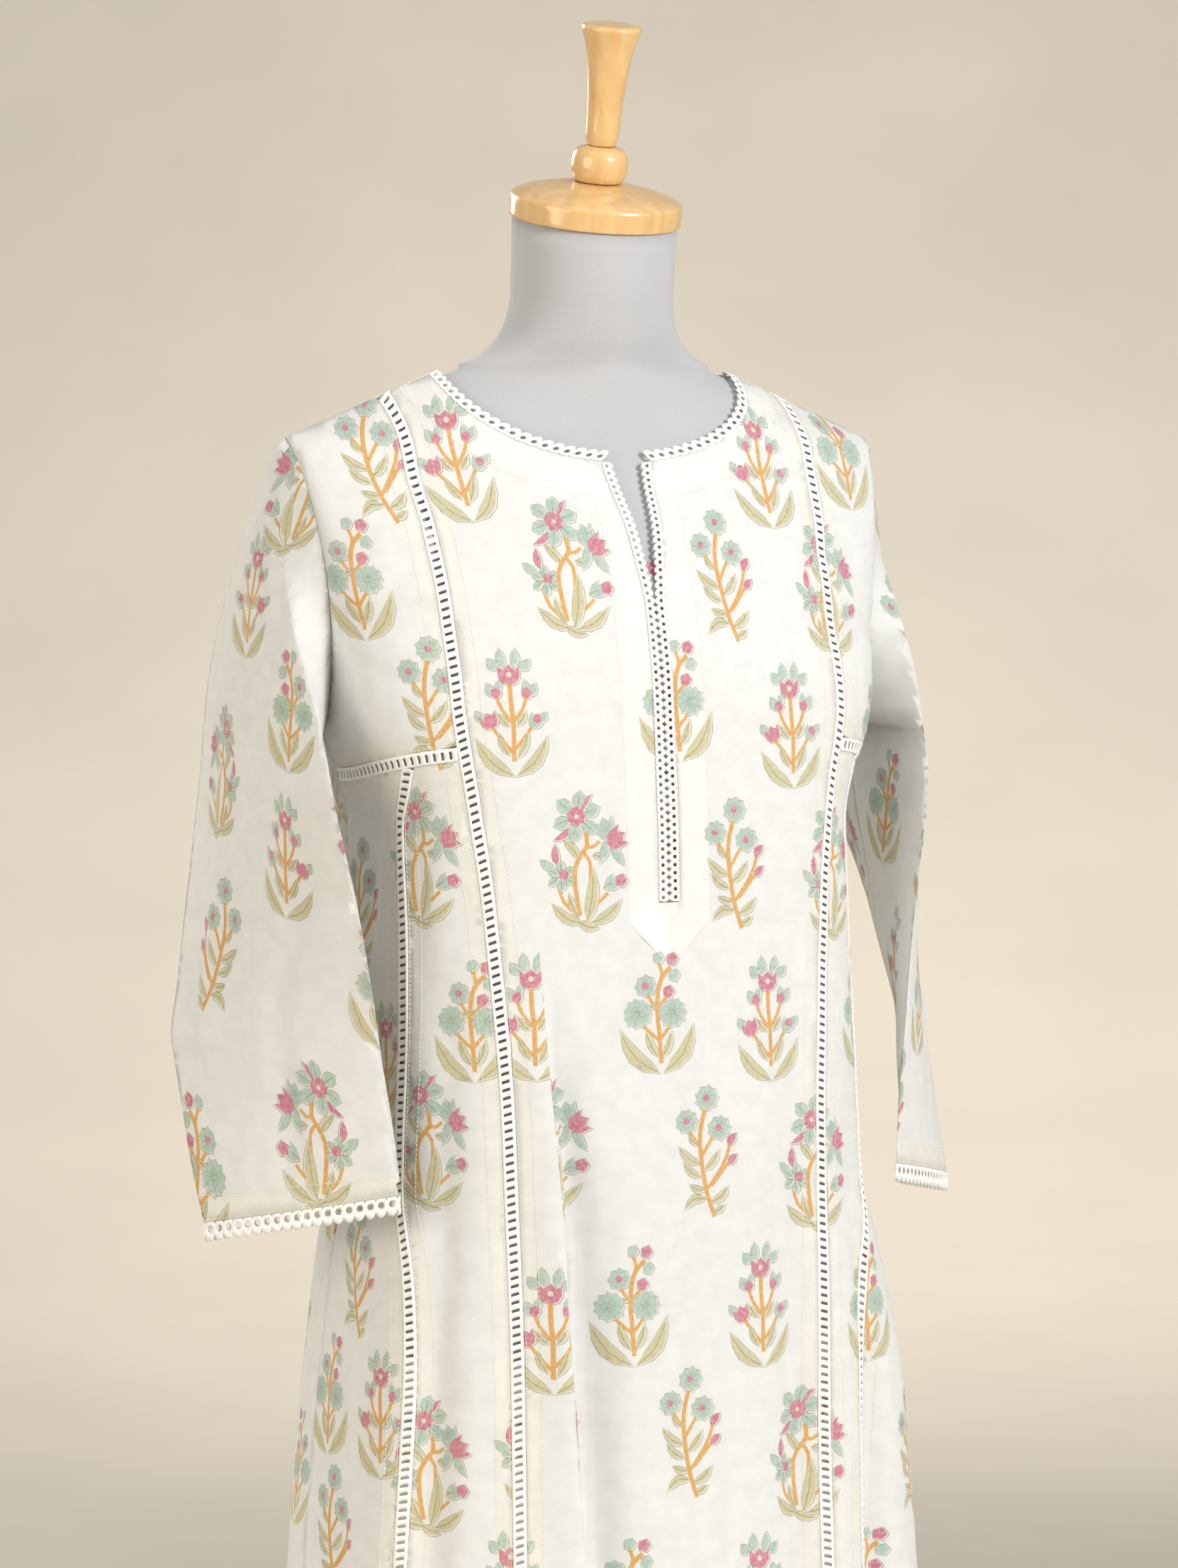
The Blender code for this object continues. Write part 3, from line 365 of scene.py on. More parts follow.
def blade(x0, y0, x1, y1, width, bend=0.0, full=0.45, steps=4):
    # pointed leaf or petal from its foot to its tip, widest at the share "full"
    t = np.linspace(0, 1, steps + 1)
    dx, dy = x1 - x0, y1 - y0
    size = math.hypot(dx, dy)
    nx, ny = -dy / size, dx / size
    bow = bend * np.sin(np.pi * t)
    half = 0.5 * width * np.sin(np.pi * t ** (math.log(0.5) / math.log(full))) ** 0.85
    cx, cy = x0 + dx * t + nx * bow, y0 + dy * t + ny * bow
    one = np.stack((cx + nx * half, cy + ny * half), axis=1)
    two = np.stack((cx - nx * half, cy - ny * half), axis=1)[1:-1][::-1]
    return np.concatenate((one, two))


def midLine(x0, y0, x1, y1, bend, share=0.86):
    t = np.array((0.05, 0.5 * share, share))
    dx, dy = x1 - x0, y1 - y0
    size = math.hypot(dx, dy)
    bow = bend * np.sin(np.pi * t)
    return [(x0 + dx * a - dy / size * b, y0 + dy * a + dx / size * b) for a, b in zip(t, bow)]


def stem(points, width):
    # smooth line of even width through the points
    points = np.array(points, float)
    ends = np.vstack((2 * points[0] - points[1], points, 2 * points[-1] - points[-2]))
    line = []
    for a, b, c, d in zip(ends, ends[1:], ends[2:], ends[3:]):
        for t in (0.0, 0.5):
            line.append(0.5 * (2 * b + (c - a) * t + (2 * a - 5 * b + 4 * c - d) * t ** 2
                               + (3 * b - a - 3 * c + d) * t ** 3))
    line = np.array(line + [points[-1]])
    way = np.gradient(line, axis=0)
    way /= np.maximum(np.linalg.norm(way, axis=1, keepdims=True), 1e-9)
    side = np.stack((-way[:, 1], way[:, 0]), axis=1) * width / 2
    return np.concatenate((line + side, (line - side)[::-1]))


def cup(x, y, width, height, turn=0.0):
    # bell of a flower, flat mouth upwards with three points
    shape = np.array(((0.0, -0.5), (0.30, -0.42), (0.47, -0.12), (0.50, 0.46), (0.26, 0.22),
                      (0.0, 0.50), (-0.26, 0.22), (-0.50, 0.46), (-0.47, -0.12), (-0.30, -0.42)))
    shape = shape * (width, height)
    c, s = math.cos(math.radians(turn)), math.sin(math.radians(turn))
    return np.stack((x + shape[:, 0] * c - shape[:, 1] * s, y + shape[:, 0] * s + shape[:, 1] * c), axis=1)


def rays(x, y, inner, outer, count, start=0.0):
    spokes = []
    for i in range(count):
        a = math.radians(start + 360.0 * i / count)
        c, s = math.cos(a), math.sin(a)
        half = ink["rayHalf"]
        spokes.append(np.array(((x + inner * c - half * s, y + inner * s + half * c),
                                (x + inner * c + half * s, y + inner * s - half * c),
                                (x + outer * c, y + outer * s))))
    return spokes


def ringOfPetals(x, y, foot, tip, width, count, start=0.0):
    petals = []
    for i in range(count):
        a = math.radians(start + 360.0 * i / count)
        petals.append((x + foot * math.cos(a), y + foot * math.sin(a),
                       x + tip * math.cos(a), y + tip * math.sin(a), width))
    return petals


# every sprig: stems (thickest first), blades (foot, tip, width, bend), rings of petals, cups, discs
sprigs = {
    "lily": {
        "stems": (((-1, 19), (0, 10), (-4, 5), (-9, -4), (-9, -18), (-7, -33)),
                  ((-3, 6), (1, 0), (1, -9), (0, -18)), ((0, 9), (4, 9), (8, 12)),
                  ((-20, -14), (-17, -24), (-9, -32)), ((5, -26), (12, -20))),
        "blades": (("khaki", -5, -38, -25, -24, 7.0, 3.0), ("khaki", -1, -38, 21, -24, 8.0, -3.0),
                   ("khaki", -3, -38, 3, -4, 9.5, -1.5), ("khaki", -8, -34, -14, -18, 4.2, 1.0),
                   ("khaki", -6, 2, -16, 14, 5.5, -1.2), ("khaki", 3, 4, 9, 1, 4.6, 0.8),
                   ("khaki", -9, -36, 5, -41, 6.0, -1.5), ("khaki", 9, -17, 16, -14, 5.0, 0.5),
                   ("sage", 12, 14, 7, -2, 5.6, 1.4), ("sage", 16, 12, 24, -4, 5.0, -1.2),
                   ("rose", -3, 31, 5, 41, 3.6, 0.8), ("rose", -9, 22, -22, 14, 4.0, 1.2),
                   ("rose", -20, -1, -21, 12, 4.6, 0.6), ("sage", -22, -4, -31, 3, 4.6, 0.6)),
        "rings": (("sage", -6, 28, 3.0, 16.0, 8.2, 6, 18.0), ("sage", -18, -8, 1.5, 9.5, 5.0, 6, 30.0)),
        "cups": (("sage", 12, 20, 12, 13, 14), ("rose", 19, 13, 13, 13, -62), ("sage", 15, -14, 9, 9, -60)),
        "discs": (("rose", -6, 28, 5.8, 9), ("rose", -16, -7, 3.2, 0), ("rose", 21, -13, 3.8, 5),
                  ("pale", -6, 28, 1.5, 0)),
        "rays": ((12, 20, 1.0, 5.6, 7, 20.0),),
    },
    "triple": {
        "stems": (((-1, 26), (-4, 16), (-5, 6), (-4, -8), (-1, -26), (4, -41)),
                  ((-12, 13), (-9, 8), (-5, 3)), ((4, 9), (0, 3), (-4, -3)),
                  ((16, 6), (13, -4), (7, -14), (-1, -24)), ((14, -8), (9, -14), (2, -22))),
        "blades": (("khaki", -5, -8, -20, 4, 5.8, 2.0), ("khaki", -5, -16, -17, -6, 5.0, 1.6),
                   ("khaki", -3, -12, 8, 1, 5.4, -1.6), ("khaki", -1, -30, -17, -36, 6.4, -4.0),
                   ("khaki", -2, -24, -13, -20, 4.8, 1.4), ("khaki", 1, -32, 14, -22, 6.0, -2.0),
                   ("khaki", 3, -38, 11, -34, 4.6, -0.8), ("khaki", -6, 4, -13, 11, 3.8, 0.8),
                   ("rose", 14, 3, 20, 10, 5.4, 0.6), ("rose", 14, -9, 20, -3, 5.0, 0.4)),
        "rings": (),
        "cups": (),
        "discs": (("sage", 0, 33, 7.2, 9), ("sage", -14, 19, 6.8, 9), ("sage", 8, 14, 7.0, 9),
                  ("rose", 0, 33, 2.3, 0), ("rose", -14, 19, 2.2, 0), ("rose", 8, 14, 2.3, 0)),
        "rays": ((0, 33, 2.8, 6.2, 9, 22.0), (-14, 19, 2.8, 6.0, 9, 22.0), (8, 14, 2.8, 6.0, 9, 22.0)),
    },
    "tulip": {
        "stems": (((0, 20), (0, 8), (1, -4), (1, -16), (1, -28)), ((-9, 12), (-6, 4), (0, -4)),
                  ((10, 12), (7, 4), (1, -4)), ((-13, -6), (-7, -14), (0, -22)),
                  ((13, -6), (8, -13), (2, -20))),
        "blades": (("sage", -6, 29, -13, 35, 6.0, 1.2), ("sage", -3, 30, -5, 41, 5.6, 0.6),
                   ("sage", 3, 30, 5, 41, 5.6, -0.6), ("sage", 6, 29, 14, 34, 6.0, -1.2),
                   ("sage", -9, 12, -15, 20, 5.6, 1.0), ("sage", 10, 12, 16, 20, 5.6, -1.0),
                   ("sage", -9, 14, -7, 22, 4.4, -0.6), ("sage", 11, 13, 9, 22, 4.4, 0.6),
                   ("khaki", 1, -37, -23, -13, 9.0, 4.0), ("khaki", 2, -37, 22, -12, 9.0, -4.0),
                   ("khaki", 3, -26, 10, -9, 5.0, -1.2), ("khaki", -2, -24, -9, -10, 4.6, 1.0),
                   ("khaki", -2, -6, -9, 2, 4.2, 0.8), ("khaki", 3, -6, 9, 3, 4.2, -0.8),
                   ("sage", -17, -3, -23, 3, 5.0, 0.8), ("sage", 16, -3, 22, 2, 5.0, -0.8)),
        "rings": (),
        "cups": (("rose", 0, 25, 14, 12, 0), ("rose", -14, -3, 11, 10, 24), ("sage", 15, -3, 9, 9, -24)),
        "discs": (("rose", -9, 14, 3.2, 5), ("rose", 10, 14, 3.2, 5), ("rose", 16, -2, 2.8, 0),
                  ("pale", 0, 25, 1.8, 0)),
        "rays": ((0, 25, 2.6, 5.4, 5, 54.0),),
    },
    "daisy": {
        "stems": (((10, 29), (4, 23), (1, 14), (0, 2), (1, -12), (2, -30)), ((2, 32), (4, 26), (3, 20)),
                  ((8, 12), (4, 8), (0, 4)), ((-7, 15), (-4, 9), (0, 3)), ((-12, -4), (-6, -10), (1, -16)),
                  ((10, -5), (6, -10), (1, -16))),
        "blades": (("khaki", 1, -36, -25, -8, 10.5, 5.0), ("khaki", 3, -36, 24, -6, 10.5, -5.0),
                   ("khaki", 0, -26, -8, -9, 5.2, 1.4), ("khaki", 3, -26, 9, -10, 5.0, -1.2),
                   ("khaki", 1, 8, -6, 4, 3.6, 0.6)),
        "rings": (),
        "cups": (),
        "discs": (("sage", -7, 18, 6.2, 8), ("sage", -13, 1, 8.4, 11), ("sage", 10, 1, 8.4, 11),
                  ("sage", 2, 35, 3.4, 5), ("sage", 12, 24, 3.4, 5), ("rose", 11, 34, 3.7, 5),
                  ("rose", 8, 14, 3.6, 5), ("rose", -7, 18, 2.4, 0)),
        "rays": ((-13, 1, 1.0, 7.6, 11, 0.0), (10, 1, 1.0, 7.6, 11, 0.0), (-7, 18, 3.0, 5.6, 8, 22.0)),
    },
}


def sprigShapes(kind, fine):
    # polygons with their ink, lowest first
    plan = sprigs[kind]
    fills, veins = [], []
    for number, points in enumerate(plan["stems"]):
        fills.append(("mustard", stem(points, ink["branchWidth"] if number else ink["stemWidth"])))
    for colour, x0, y0, x1, y1, width, bend in plan["blades"]:
        slimmer = ink["leaf"] if colour == "khaki" else 1.0
        fills.append((colour, blade(x0, y0, x1, y1, width * slimmer, bend)))
        if colour == "khaki":
            veins.append(("vein", stem(midLine(x0, y0, x1, y1, bend), ink["veinWidth"])))
    for colour, x, y, foot, tip, width, count, start in plan["rings"]:
        for petal in ringOfPetals(x, y, foot, tip, width, count, start):
            fills.append((colour, blade(*petal, full=0.6)))
            veins.append(("vein", stem(midLine(*petal[:4], 0.0, 0.8), ink["petalVein"])))
    for colour, x, y, width, height, turn in plan["cups"]:
        fills.append((colour, cup(x, y, width, height, turn)))
    for colour, x, y, radius, lobes in plan["discs"]:
        fills.append((colour, disc(x, y, radius, 9, lobes)))
    for spokes in plan["rays"]:
        veins += [("vein", shape) for shape in rays(*spokes)]
    if not fine:
        return fills
    edged, bare = [], []
    for colour, shape in fills:
        if colour in ("pale", "mustard"):
            continue
        edged.append(("outline", widen(shape, ink["outlineWidth"]) + ink["slip"]))
        bare.append(("cloth", widen(shape, ink["gap"]) + ink["slip"]))
    return edged + bare + fills + veins


def widen(shape, amount):
    way = np.roll(shape, -1, axis=0) - np.roll(shape, 1, axis=0)
    way /= np.maximum(np.linalg.norm(way, axis=1, keepdims=True), 1e-9)
    normal = np.stack((way[:, 1], -way[:, 0]), axis=1)
    area = 0.5 * np.sum(shape[:, 0] * np.roll(shape[:, 1], -1) - np.roll(shape[:, 0], -1) * shape[:, 1])
    return shape + normal * amount * (1 if area > 0 else -1)


printShapes = {(kind, fine): sprigShapes(kind, fine) for kind in sprigs for fine in (True, False)}
print("block print drawn")


# where the sprigs stand, in metres: run across from the middle and drop from the neck point
printRows = {"step": 0.190, "rise": 0.183}
mmSize = 1000.0


def placedPrint(marks, fine=True):
    # marks: kind, run, drop, turn in degrees
    patches = []
    for kind, u, v, turn in marks:
        c, s = math.cos(math.radians(turn)), math.sin(math.radians(turn))
        for colour, shape in printShapes[kind, fine]:
            x = (shape[:, 0] * c - shape[:, 1] * s) * mm
            y = (shape[:, 0] * s + shape[:, 1] * c) * mm
            patches.append((inks[colour], np.stack((u + x, v - y), axis=1)))
    return patches


def insideOf(points, loop):
    inside = np.zeros(len(points), bool)
    x, y = points[:, 0], points[:, 1]
    for (x0, y0), (x1, y1) in zip(loop, np.roll(loop, -1, axis=0)):
        if y0 == y1:
            continue
        hit = ((y0 > y) != (y1 > y)) & (x < (x1 - x0) * (y - y0) / (y1 - y0) + x0)
        inside ^= hit
    return inside


def turned(loop):
    # the same loop, running anticlockwise
    loop = np.array(loop, float)
    after = np.roll(loop, -1, axis=0)
    area = np.sum(loop[:, 0] * after[:, 1] - after[:, 0] * loop[:, 1])
    return loop if area > 0 else loop[::-1]


def dense(loop, step=0.005):
    loop = turned(loop)
    points = []
    for a, b in zip(loop, np.roll(loop, -1, axis=0)):
        count = max(1, int(math.ceil(np.linalg.norm(b - a) / step)))
        points += [a + (b - a) * i / count for i in range(count)]
    return np.array(points)


def makeCloth(name, outline, place, patches, materials, lines=(), grid=(0.0058, 0.0078),
              wall=None, lift=0.0):
    # flat piece cut along its outline, with the patches let in, then laid on the body
    loop = dense(outline)
    low, high = loop.min(axis=0), loop.max(axis=0)
    across, down = (max(2, int(round((high[i] - low[i]) / grid[i]))) for i in (0, 1))
    us, vs = np.meshgrid(np.linspace(low[0], high[0], across + 1), np.linspace(low[1], high[1], down + 1))
    field = np.stack((us.ravel(), vs.ravel()), axis=1)
    field = field[insideOf(field, loop)]
    near = np.full(len(field), 1.0)
    for point in loop[::2]:
        near = np.minimum(near, np.hypot(*(field - point).T))
    field = field[near > 0.0022]
    points = [loop, field]
    faces = [list(range(len(loop)))]
    start = len(loop) + len(field)
    inks = [0]
    for slot, shape in patches:
        if shape[:, 0].max() < low[0] or shape[:, 0].min() > high[0]:
            continue
        if shape[:, 1].max() < low[1] or shape[:, 1].min() > high[1]:
            continue
        shape = dense(shape, 0.006) if slot >= bandSlot else turned(shape)
        points.append(shape)
        faces.append(list(range(start, start + len(shape))))
        inks.append(slot)
        start += len(shape)
    edges = []
    for line in lines:
        line = np.array(line)
        line = line[insideOf(line, loop)]
        points.append(line)
        edges += [(start + i, start + i + 1) for i in range(len(line) - 1)]
        start += len(line)
    flat = np.concatenate(points) * mmSize
    made = geometry.delaunay_2d_cdt([Vector(p) for p in flat], edges, faces, 1, 0.0005, True)
    verts, _, triangles, _, _, sources = made
    kept, slots = [], []
    for triangle, source in zip(triangles, sources):
        if 0 in source:
            kept.append(triangle)
            slots.append(inks[max(source)])
    coords = np.array([(v.x, v.y) for v in verts]) / mmSize
    used = sorted({i for triangle in kept for i in triangle})
    index = {old: new for new, old in enumerate(used)}
    coords = coords[used]
    kept = [tuple(index[i] for i in triangle) for triangle in kept]
    space = place(coords[:, 0], coords[:, 1], lift)
    mesh = bpy.data.meshes.new(name)
    mesh.from_pydata([tuple(p) for p in space], [], kept)
    for material in materials:
        mesh.materials.append(material)
    mesh.polygons.foreach_set("material_index", slots)
    mesh.polygons.foreach_set("use_smooth", [True] * len(kept))
    layer = mesh.uv_layers.new(name="cloth")
    corners = np.empty(len(mesh.loops), dtype=np.int32)
    mesh.loops.foreach_get("vertex_index", corners)
    layer.data.foreach_set("uv", coords[corners].ravel())
    mesh.update()
    facing(mesh, place)
    thing = bpy.data.objects.new(name, mesh)
    bpy.context.scene.collection.objects.link(thing)
    wallUp(thing, wall or kurta["wall"])
    return thing


def facing(mesh, place):
    # turn the piece over when its faces look inwards
    total = Vector((0, 0, 0))
    for polygon in list(mesh.polygons)[::7]:
        outward = Vector(polygon.center)
        outward = Vector((outward.x - place.middle[0], outward.y - place.middle[1], 0.0))
        total.x += polygon.normal.dot(outward.normalized()) * polygon.area
    if total.x < 0:
        mesh.flip_normals()


def wallUp(thing, wall):
    skin = thing.modifiers.new("wall", "SOLIDIFY")
    skin.thickness = wall
    skin.offset = -1.0
    skin.use_even_offset = False


class Place:
    # where a piece lies: a function of run and drop, and the line it goes round
    def __init__(self, work, middle):
        self.work = work
        self.middle = middle

    def __call__(self, u, v, lift=0.0):
        return self.work(u, v, lift)


frontPlace = Place(lambda u, v, lift=0.0: bodyPoints(1, u, v, lift), (0.0, 0.03))
backPlace = Place(lambda u, v, lift=0.0: bodyPoints(-1, u, v, lift), (0.0, -0.03))


# sleeve rings: drops of front and back crease, places of both creases, swell outside and inside
sleeveRows = (
    (0.060, 0.060, 0.2060, 0.0040, 0.2060, 0.0280, 0.003, 0.000),
    (0.090, 0.090, 0.2085, 0.0000, 0.2095, 0.0520, 0.005, 0.000),
    (0.125, 0.125, 0.2100, -0.0100, 0.2130, 0.0730, 0.007, 0.000),
    (0.160, 0.160, 0.2110, -0.0320, 0.2160, 0.0920, 0.009, 0.000),
    (0.195, 0.195, 0.2092, -0.0550, 0.2188, 0.1050, 0.011, 0.000),
    (0.222, 0.222, 0.2070, -0.0680, 0.2200, 0.1100, 0.012, 0.000),
    (0.254, 0.254, 0.2050, -0.0800, 0.2220, 0.1120, 0.013, 0.014),
    (0.330, 0.330, 0.1920, -0.0900, 0.2400, 0.0880, 0.013, 0.011),
    (0.380, 0.384, 0.1845, -0.0940, 0.2540, 0.0670, 0.012, 0.010),
    (0.417, 0.423, 0.1800, -0.0970, 0.2640, 0.0480, 0.010, 0.009),
    (0.460, 0.474, 0.1745, -0.1010, 0.2640, 0.0230, 0.008, 0.008),
    (0.503, 0.529, 0.1700, -0.1040, 0.2620, -0.0020, 0.006, 0.006),
)

sleeve = {
    "tip": 0.040,
    "firstRing": 0.047,
    "cuff": 0.503,
    "hemBand": 0.013,
}

# creases on the sleeves: from (run, drop) to (run, drop), width, height
sleeveCreases = {
    -1: ((-0.030, 0.090, -0.060, 0.200, 0.008, -0.0022), (0.020, 0.110, 0.010, 0.220, 0.009, 0.0020),
         (-0.050, 0.240, 0.010, 0.330, 0.009, -0.0026), (-0.060, 0.300, -0.010, 0.400, 0.008, -0.0022),
         (0.035, 0.250, 0.055, 0.420, 0.009, 0.0022), (-0.020, 0.380, 0.000, 0.480, 0.010, -0.0020),
         (-0.150, 0.260, -0.130, 0.360, 0.009, -0.0022), (0.150, 0.260, 0.135, 0.380, 0.009, -0.0022)),
    1: ((-0.030, 0.100, -0.050, 0.210, 0.008, -0.0022), (0.020, 0.100, 0.015, 0.230, 0.009, 0.0020),
        (-0.045, 0.260, 0.015, 0.350, 0.009, -0.0024), (0.040, 0.300, -0.010, 0.420, 0.009, -0.0024),
        (-0.020, 0.390, 0.010, 0.480, 0.010, -0.0020), (-0.150, 0.250, -0.125, 0.400, 0.010, -0.0030),
        (-0.110, 0.300, -0.115, 0.450, 0.009, 0.0024), (0.150, 0.270, 0.130, 0.390, 0.009, -0.0022)),
}
ringSteps = 24


def sleeveRing(drop):
    # one ring for the wearer's left: inner seam, front crease, outer face, back crease, seam
    place = [float(readColumn(sleeveRows, k, np.array([drop]))[0]) for k in range(1, 8)]
    backDrop, frontX, frontY, backX, backY, outer, inner = place
    opened = drop < kurta["underarmDrop"] + 1e-6
    front = np.array((frontX, frontY, -drop))
    back = np.array((backX, backY, -(drop if opened else backDrop)))
    chord = back - front
    out = np.array((chord[1], -chord[0], 0.0))
    out /= np.linalg.norm(out)
    if opened:
        x = float(halfWidth(np.array([drop]), 1)[0])
        seams = [np.array((x, float(edgeDepth(np.array([drop]), face)[0]), -drop)) for face in (1, -1)]
        swell = 0.0
    else:
        seams = [0.5 * (front + back) - out * inner] * 2
        swell = inner
    ring = []
    for i in range(ringSteps):
        t = i / ringSteps
        ring.append(seams[0] + (front - seams[0]) * t - out * swell * t * (1.0 - t))
    for i in range(2 * ringSteps + 1):
        t = i / (2 * ringSteps)
        ring.append(front + chord * t + out * outer * 4.0 * t * (1.0 - t))
    for i in range(ringSteps):
        t = (i + 1) / ringSteps
        ring.append(back + (seams[1] - back) * t - out * swell * t * (1.0 - t))
    return np.array(ring)


def sleeveTable(side):
    count = int(round((sleeve["cuff"] - sleeve["tip"]) / dropStep)) + 1
    drops = sleeve["tip"] + dropStep * np.arange(count)
    tip = np.array((kurta["shoulderHalf"], kurta["ridge"], -kurta["shoulderDrop"]))
    top = sleeveRing(sleeve["firstRing"])
    rings = []
    for drop in drops:
        if drop < sleeve["firstRing"]:
            t = (drop - sleeve["tip"]) / (sleeve["firstRing"] - sleeve["tip"])
            rings.append(tip + (top - tip) * max(t, 0.004))
        else:
            rings.append(sleeveRing(drop))
    rings = np.array(rings)
    rings[:, :, 0] *= side
    rings[:, :, 2] += kurta["neckPoint"]
    steps = np.linalg.norm(np.diff(rings, axis=1), axis=2)
    run = np.concatenate((np.zeros((len(drops), 1)), np.cumsum(steps, axis=1)), axis=1)
    middle = run[:, 2 * ringSteps]
    normals = np.cross(np.gradient(rings, axis=1), np.gradient(rings, axis=0)) * -side
    normals /= np.maximum(np.linalg.norm(normals, axis=2, keepdims=True), 1e-12)
    return {"points": rings, "run": run - middle[:, None], "normals": normals}


sleeves = {side: sleeveTable(side) for side in (-1, 1)}


def sleevePoints(side, u, v, lift=0.0):
    # run from the middle of the outer face (towards the back positive) and drop
    table = sleeves[side]
    u, v = np.atleast_1d(np.asarray(u, float)), np.atleast_1d(np.asarray(v, float))
    row = np.clip((v - sleeve["tip"]) / dropStep, 0, len(table["run"]) - 1.001)
    low = row.astype(int)
    part = (row - low)[:, None]
    places, normals = np.zeros((len(u), 3)), np.zeros((len(u), 3))
    for i in range(len(u)):
        found = []
        for r in (low[i], low[i] + 1):
            place = np.interp(u[i], table["run"][r], np.arange(table["run"].shape[1]))
            c = min(int(place), table["run"].shape[1] - 2)
            f = place - c
            found.append((table["points"][r, c] * (1 - f) + table["points"][r, c + 1] * f,
                          table["normals"][r, c] * (1 - f) + table["normals"][r, c + 1] * f))
        places[i] = found[0][0] * (1 - part[i]) + found[1][0] * part[i]
        normals[i] = found[0][1] * (1 - part[i]) + found[1][1] * part[i]
    calm = smoothStep((v - 0.07) / 0.05) * smoothStep((sleeve["cuff"] - v) / 0.03)
    push = (creaseHeight(sleeveCreases[side], u, v) + ripple(u + side, v)) * calm + lift
    places += normals * push[:, None]
    places[:, 2] -= np.maximum(v - sleeve["cuff"], 0.0)
    return places


sleevePlaces = {side: Place(lambda u, v, lift=0.0, side=side: sleevePoints(side, u, v, lift),
                            (side * 0.205, 0.0)) for side in (-1, 1)}
print("sleeve surface worked out")


def dropsBetween(top, bottom):
    rows = [top]
    while rows[-1] < bottom - 1e-6:
        rows.append(min(rows[-1] + (0.002 if rows[-1] < 0.060 else 0.008), bottom))
    return rows


def stripTop(rows, side, offset):
    # drop at which the strip's edge leaves the shoulder line
    for drop in np.arange(0.0, 0.040, 0.0005):
        x = float(readColumn(rows, 1 if side < 0 else 2, np.array([drop]))[0])
        if x + offset < float(halfWidth(np.array([drop]), side)[0]):
            return float(drop)
    return 0.0


halfStrip = kurta["ladderHalf"] + kurta["seam"]


def centreOutline():
    hem = kurta["length"]
    loop = []
    for side in (1, -1):
        outer = [(side * stripRun(princessRows, drop, side, -halfStrip), drop)
                 for drop in dropsBetween(0.0, hem)]
        bend = math.acos(kurta["slitTop"] / kurta["neckHalf"])
        neck = [(kurta["frontNeck"] * math.sin(bend * t), kurta["neckHalf"] * math.cos(bend * t))
                for t in np.linspace(0.02, 1.0, 26)]
        slit = [(drop, neckHalf(drop, 1)) for drop in dropsBetween(kurta["frontNeck"], kurta["slitBottom"])]
        inner = [(side * runAtX(drop, 1, side, x), drop) for drop, x in neck + slit]
        if side > 0:
            loop += outer
            left = inner
        else:
            loop += outer[::-1] + inner
    return loop + left[::-1]


def yokeOutline(side):
    top = stripTop(princessRows, side, halfStrip)
    bottom = kurta["crossDrop"] - halfStrip
    inner = [(stripRun(princessRows, drop, side, halfStrip), drop) for drop in dropsBetween(top, bottom)]
    end = bottom + kurta["crossSlant"]
    outer = [(wholeRun(drop, 1, side) - kurta["seam"], drop) for drop in dropsBetween(top, end)]
    runs = np.linspace(inner[-1][0], outer[-1][0], 16)[1:-1]
    low = [(run, crossDrop(run, side) - halfStrip) for run in runs]
    return [(side * u, v) for u, v in inner[1:] + low + outer[::-1]]


def lowerOutline(side, inner, outer):
    # panel from the cross strip's lower edge to the hem between two lines
    hem = kurta["length"]
    start = kurta["crossDrop"] + halfStrip
    ends = []
    for line in (inner, outer):
        run = line(start)
        for _ in range(6):
            drop = crossDrop(run, side) + halfStrip
            run = line(drop)
        ends.append((run, drop))
    one = [(inner(drop), drop) for drop in dropsBetween(ends[0][1], hem)]
    two = [(outer(drop), drop) for drop in dropsBetween(ends[1][1], hem)]
    runs = np.linspace(ends[0][0], ends[1][0], 14)[1:-1]
    top = [(run, crossDrop(run, side) + halfStrip) for run in runs]
    return [(side * u, v) for u, v in one + two[::-1] + top[::-1]]


def backOutline():
    hem = kurta["length"]
    loop = []
    for side in (1, -1):
        edge = [(side * (wholeRun(drop, -1, side) - kurta["seam"]), drop)
                for drop in dropsBetween(0.0006, hem)]
        neck = [(kurta["backNeck"] * math.sin(a), kurta["neckHalf"] * math.cos(a))
                for a in np.linspace(0.08, 0.5 * math.pi, 30)]
        inner = [(side * runAtX(drop, -1, side, x), drop) for drop, x in neck]
        if side > 0:
            loop += edge
            left = inner
        else:
            loop += edge[::-1] + inner
    return loop + left[::-1][1:]


def sleeveOutline(side):
    table = sleeves[side]
    drops = [sleeve["tip"] + 0.001] + dropsBetween(0.044, sleeve["cuff"])
    rows = [int(round((drop - sleeve["tip"]) / dropStep)) for drop in drops]
    front = [(table["run"][r, 0], drop) for r, drop in zip(rows, drops)]
    rear = [(table["run"][r, -1], drop) for r, drop in zip(rows, drops)]
    return front + rear[::-1]


# colours as seen, 0 to 255, then made linear
shades = {
    "cloth": (250, 250, 248),
    "outline": (160, 156, 104),
    "mustard": (239, 190, 108),
    "khaki": (227, 219, 179),
    "sage": (197, 219, 206),
    "rose": (226, 144, 164),
    "pale": (246, 236, 222),
    "band": (251, 250, 244),
    "double": (252, 251, 248),
    "thread": (243, 242, 238),
    "stitch": (232, 226, 212),
    "jersey": (184, 184, 186),
    "wood": (226, 187, 128),
    "woodDark": (214, 170, 110),
    "steel": (150, 150, 148),
    "stand": (214, 210, 202),
    "floor": (211, 203, 190),
}


def linear(shade):
    values = [part / 255.0 for part in shade]
    return tuple(v / 12.92 if v <= 0.04045 else ((v + 0.055) / 1.055) ** 2.4 for v in values) + (1.0,)


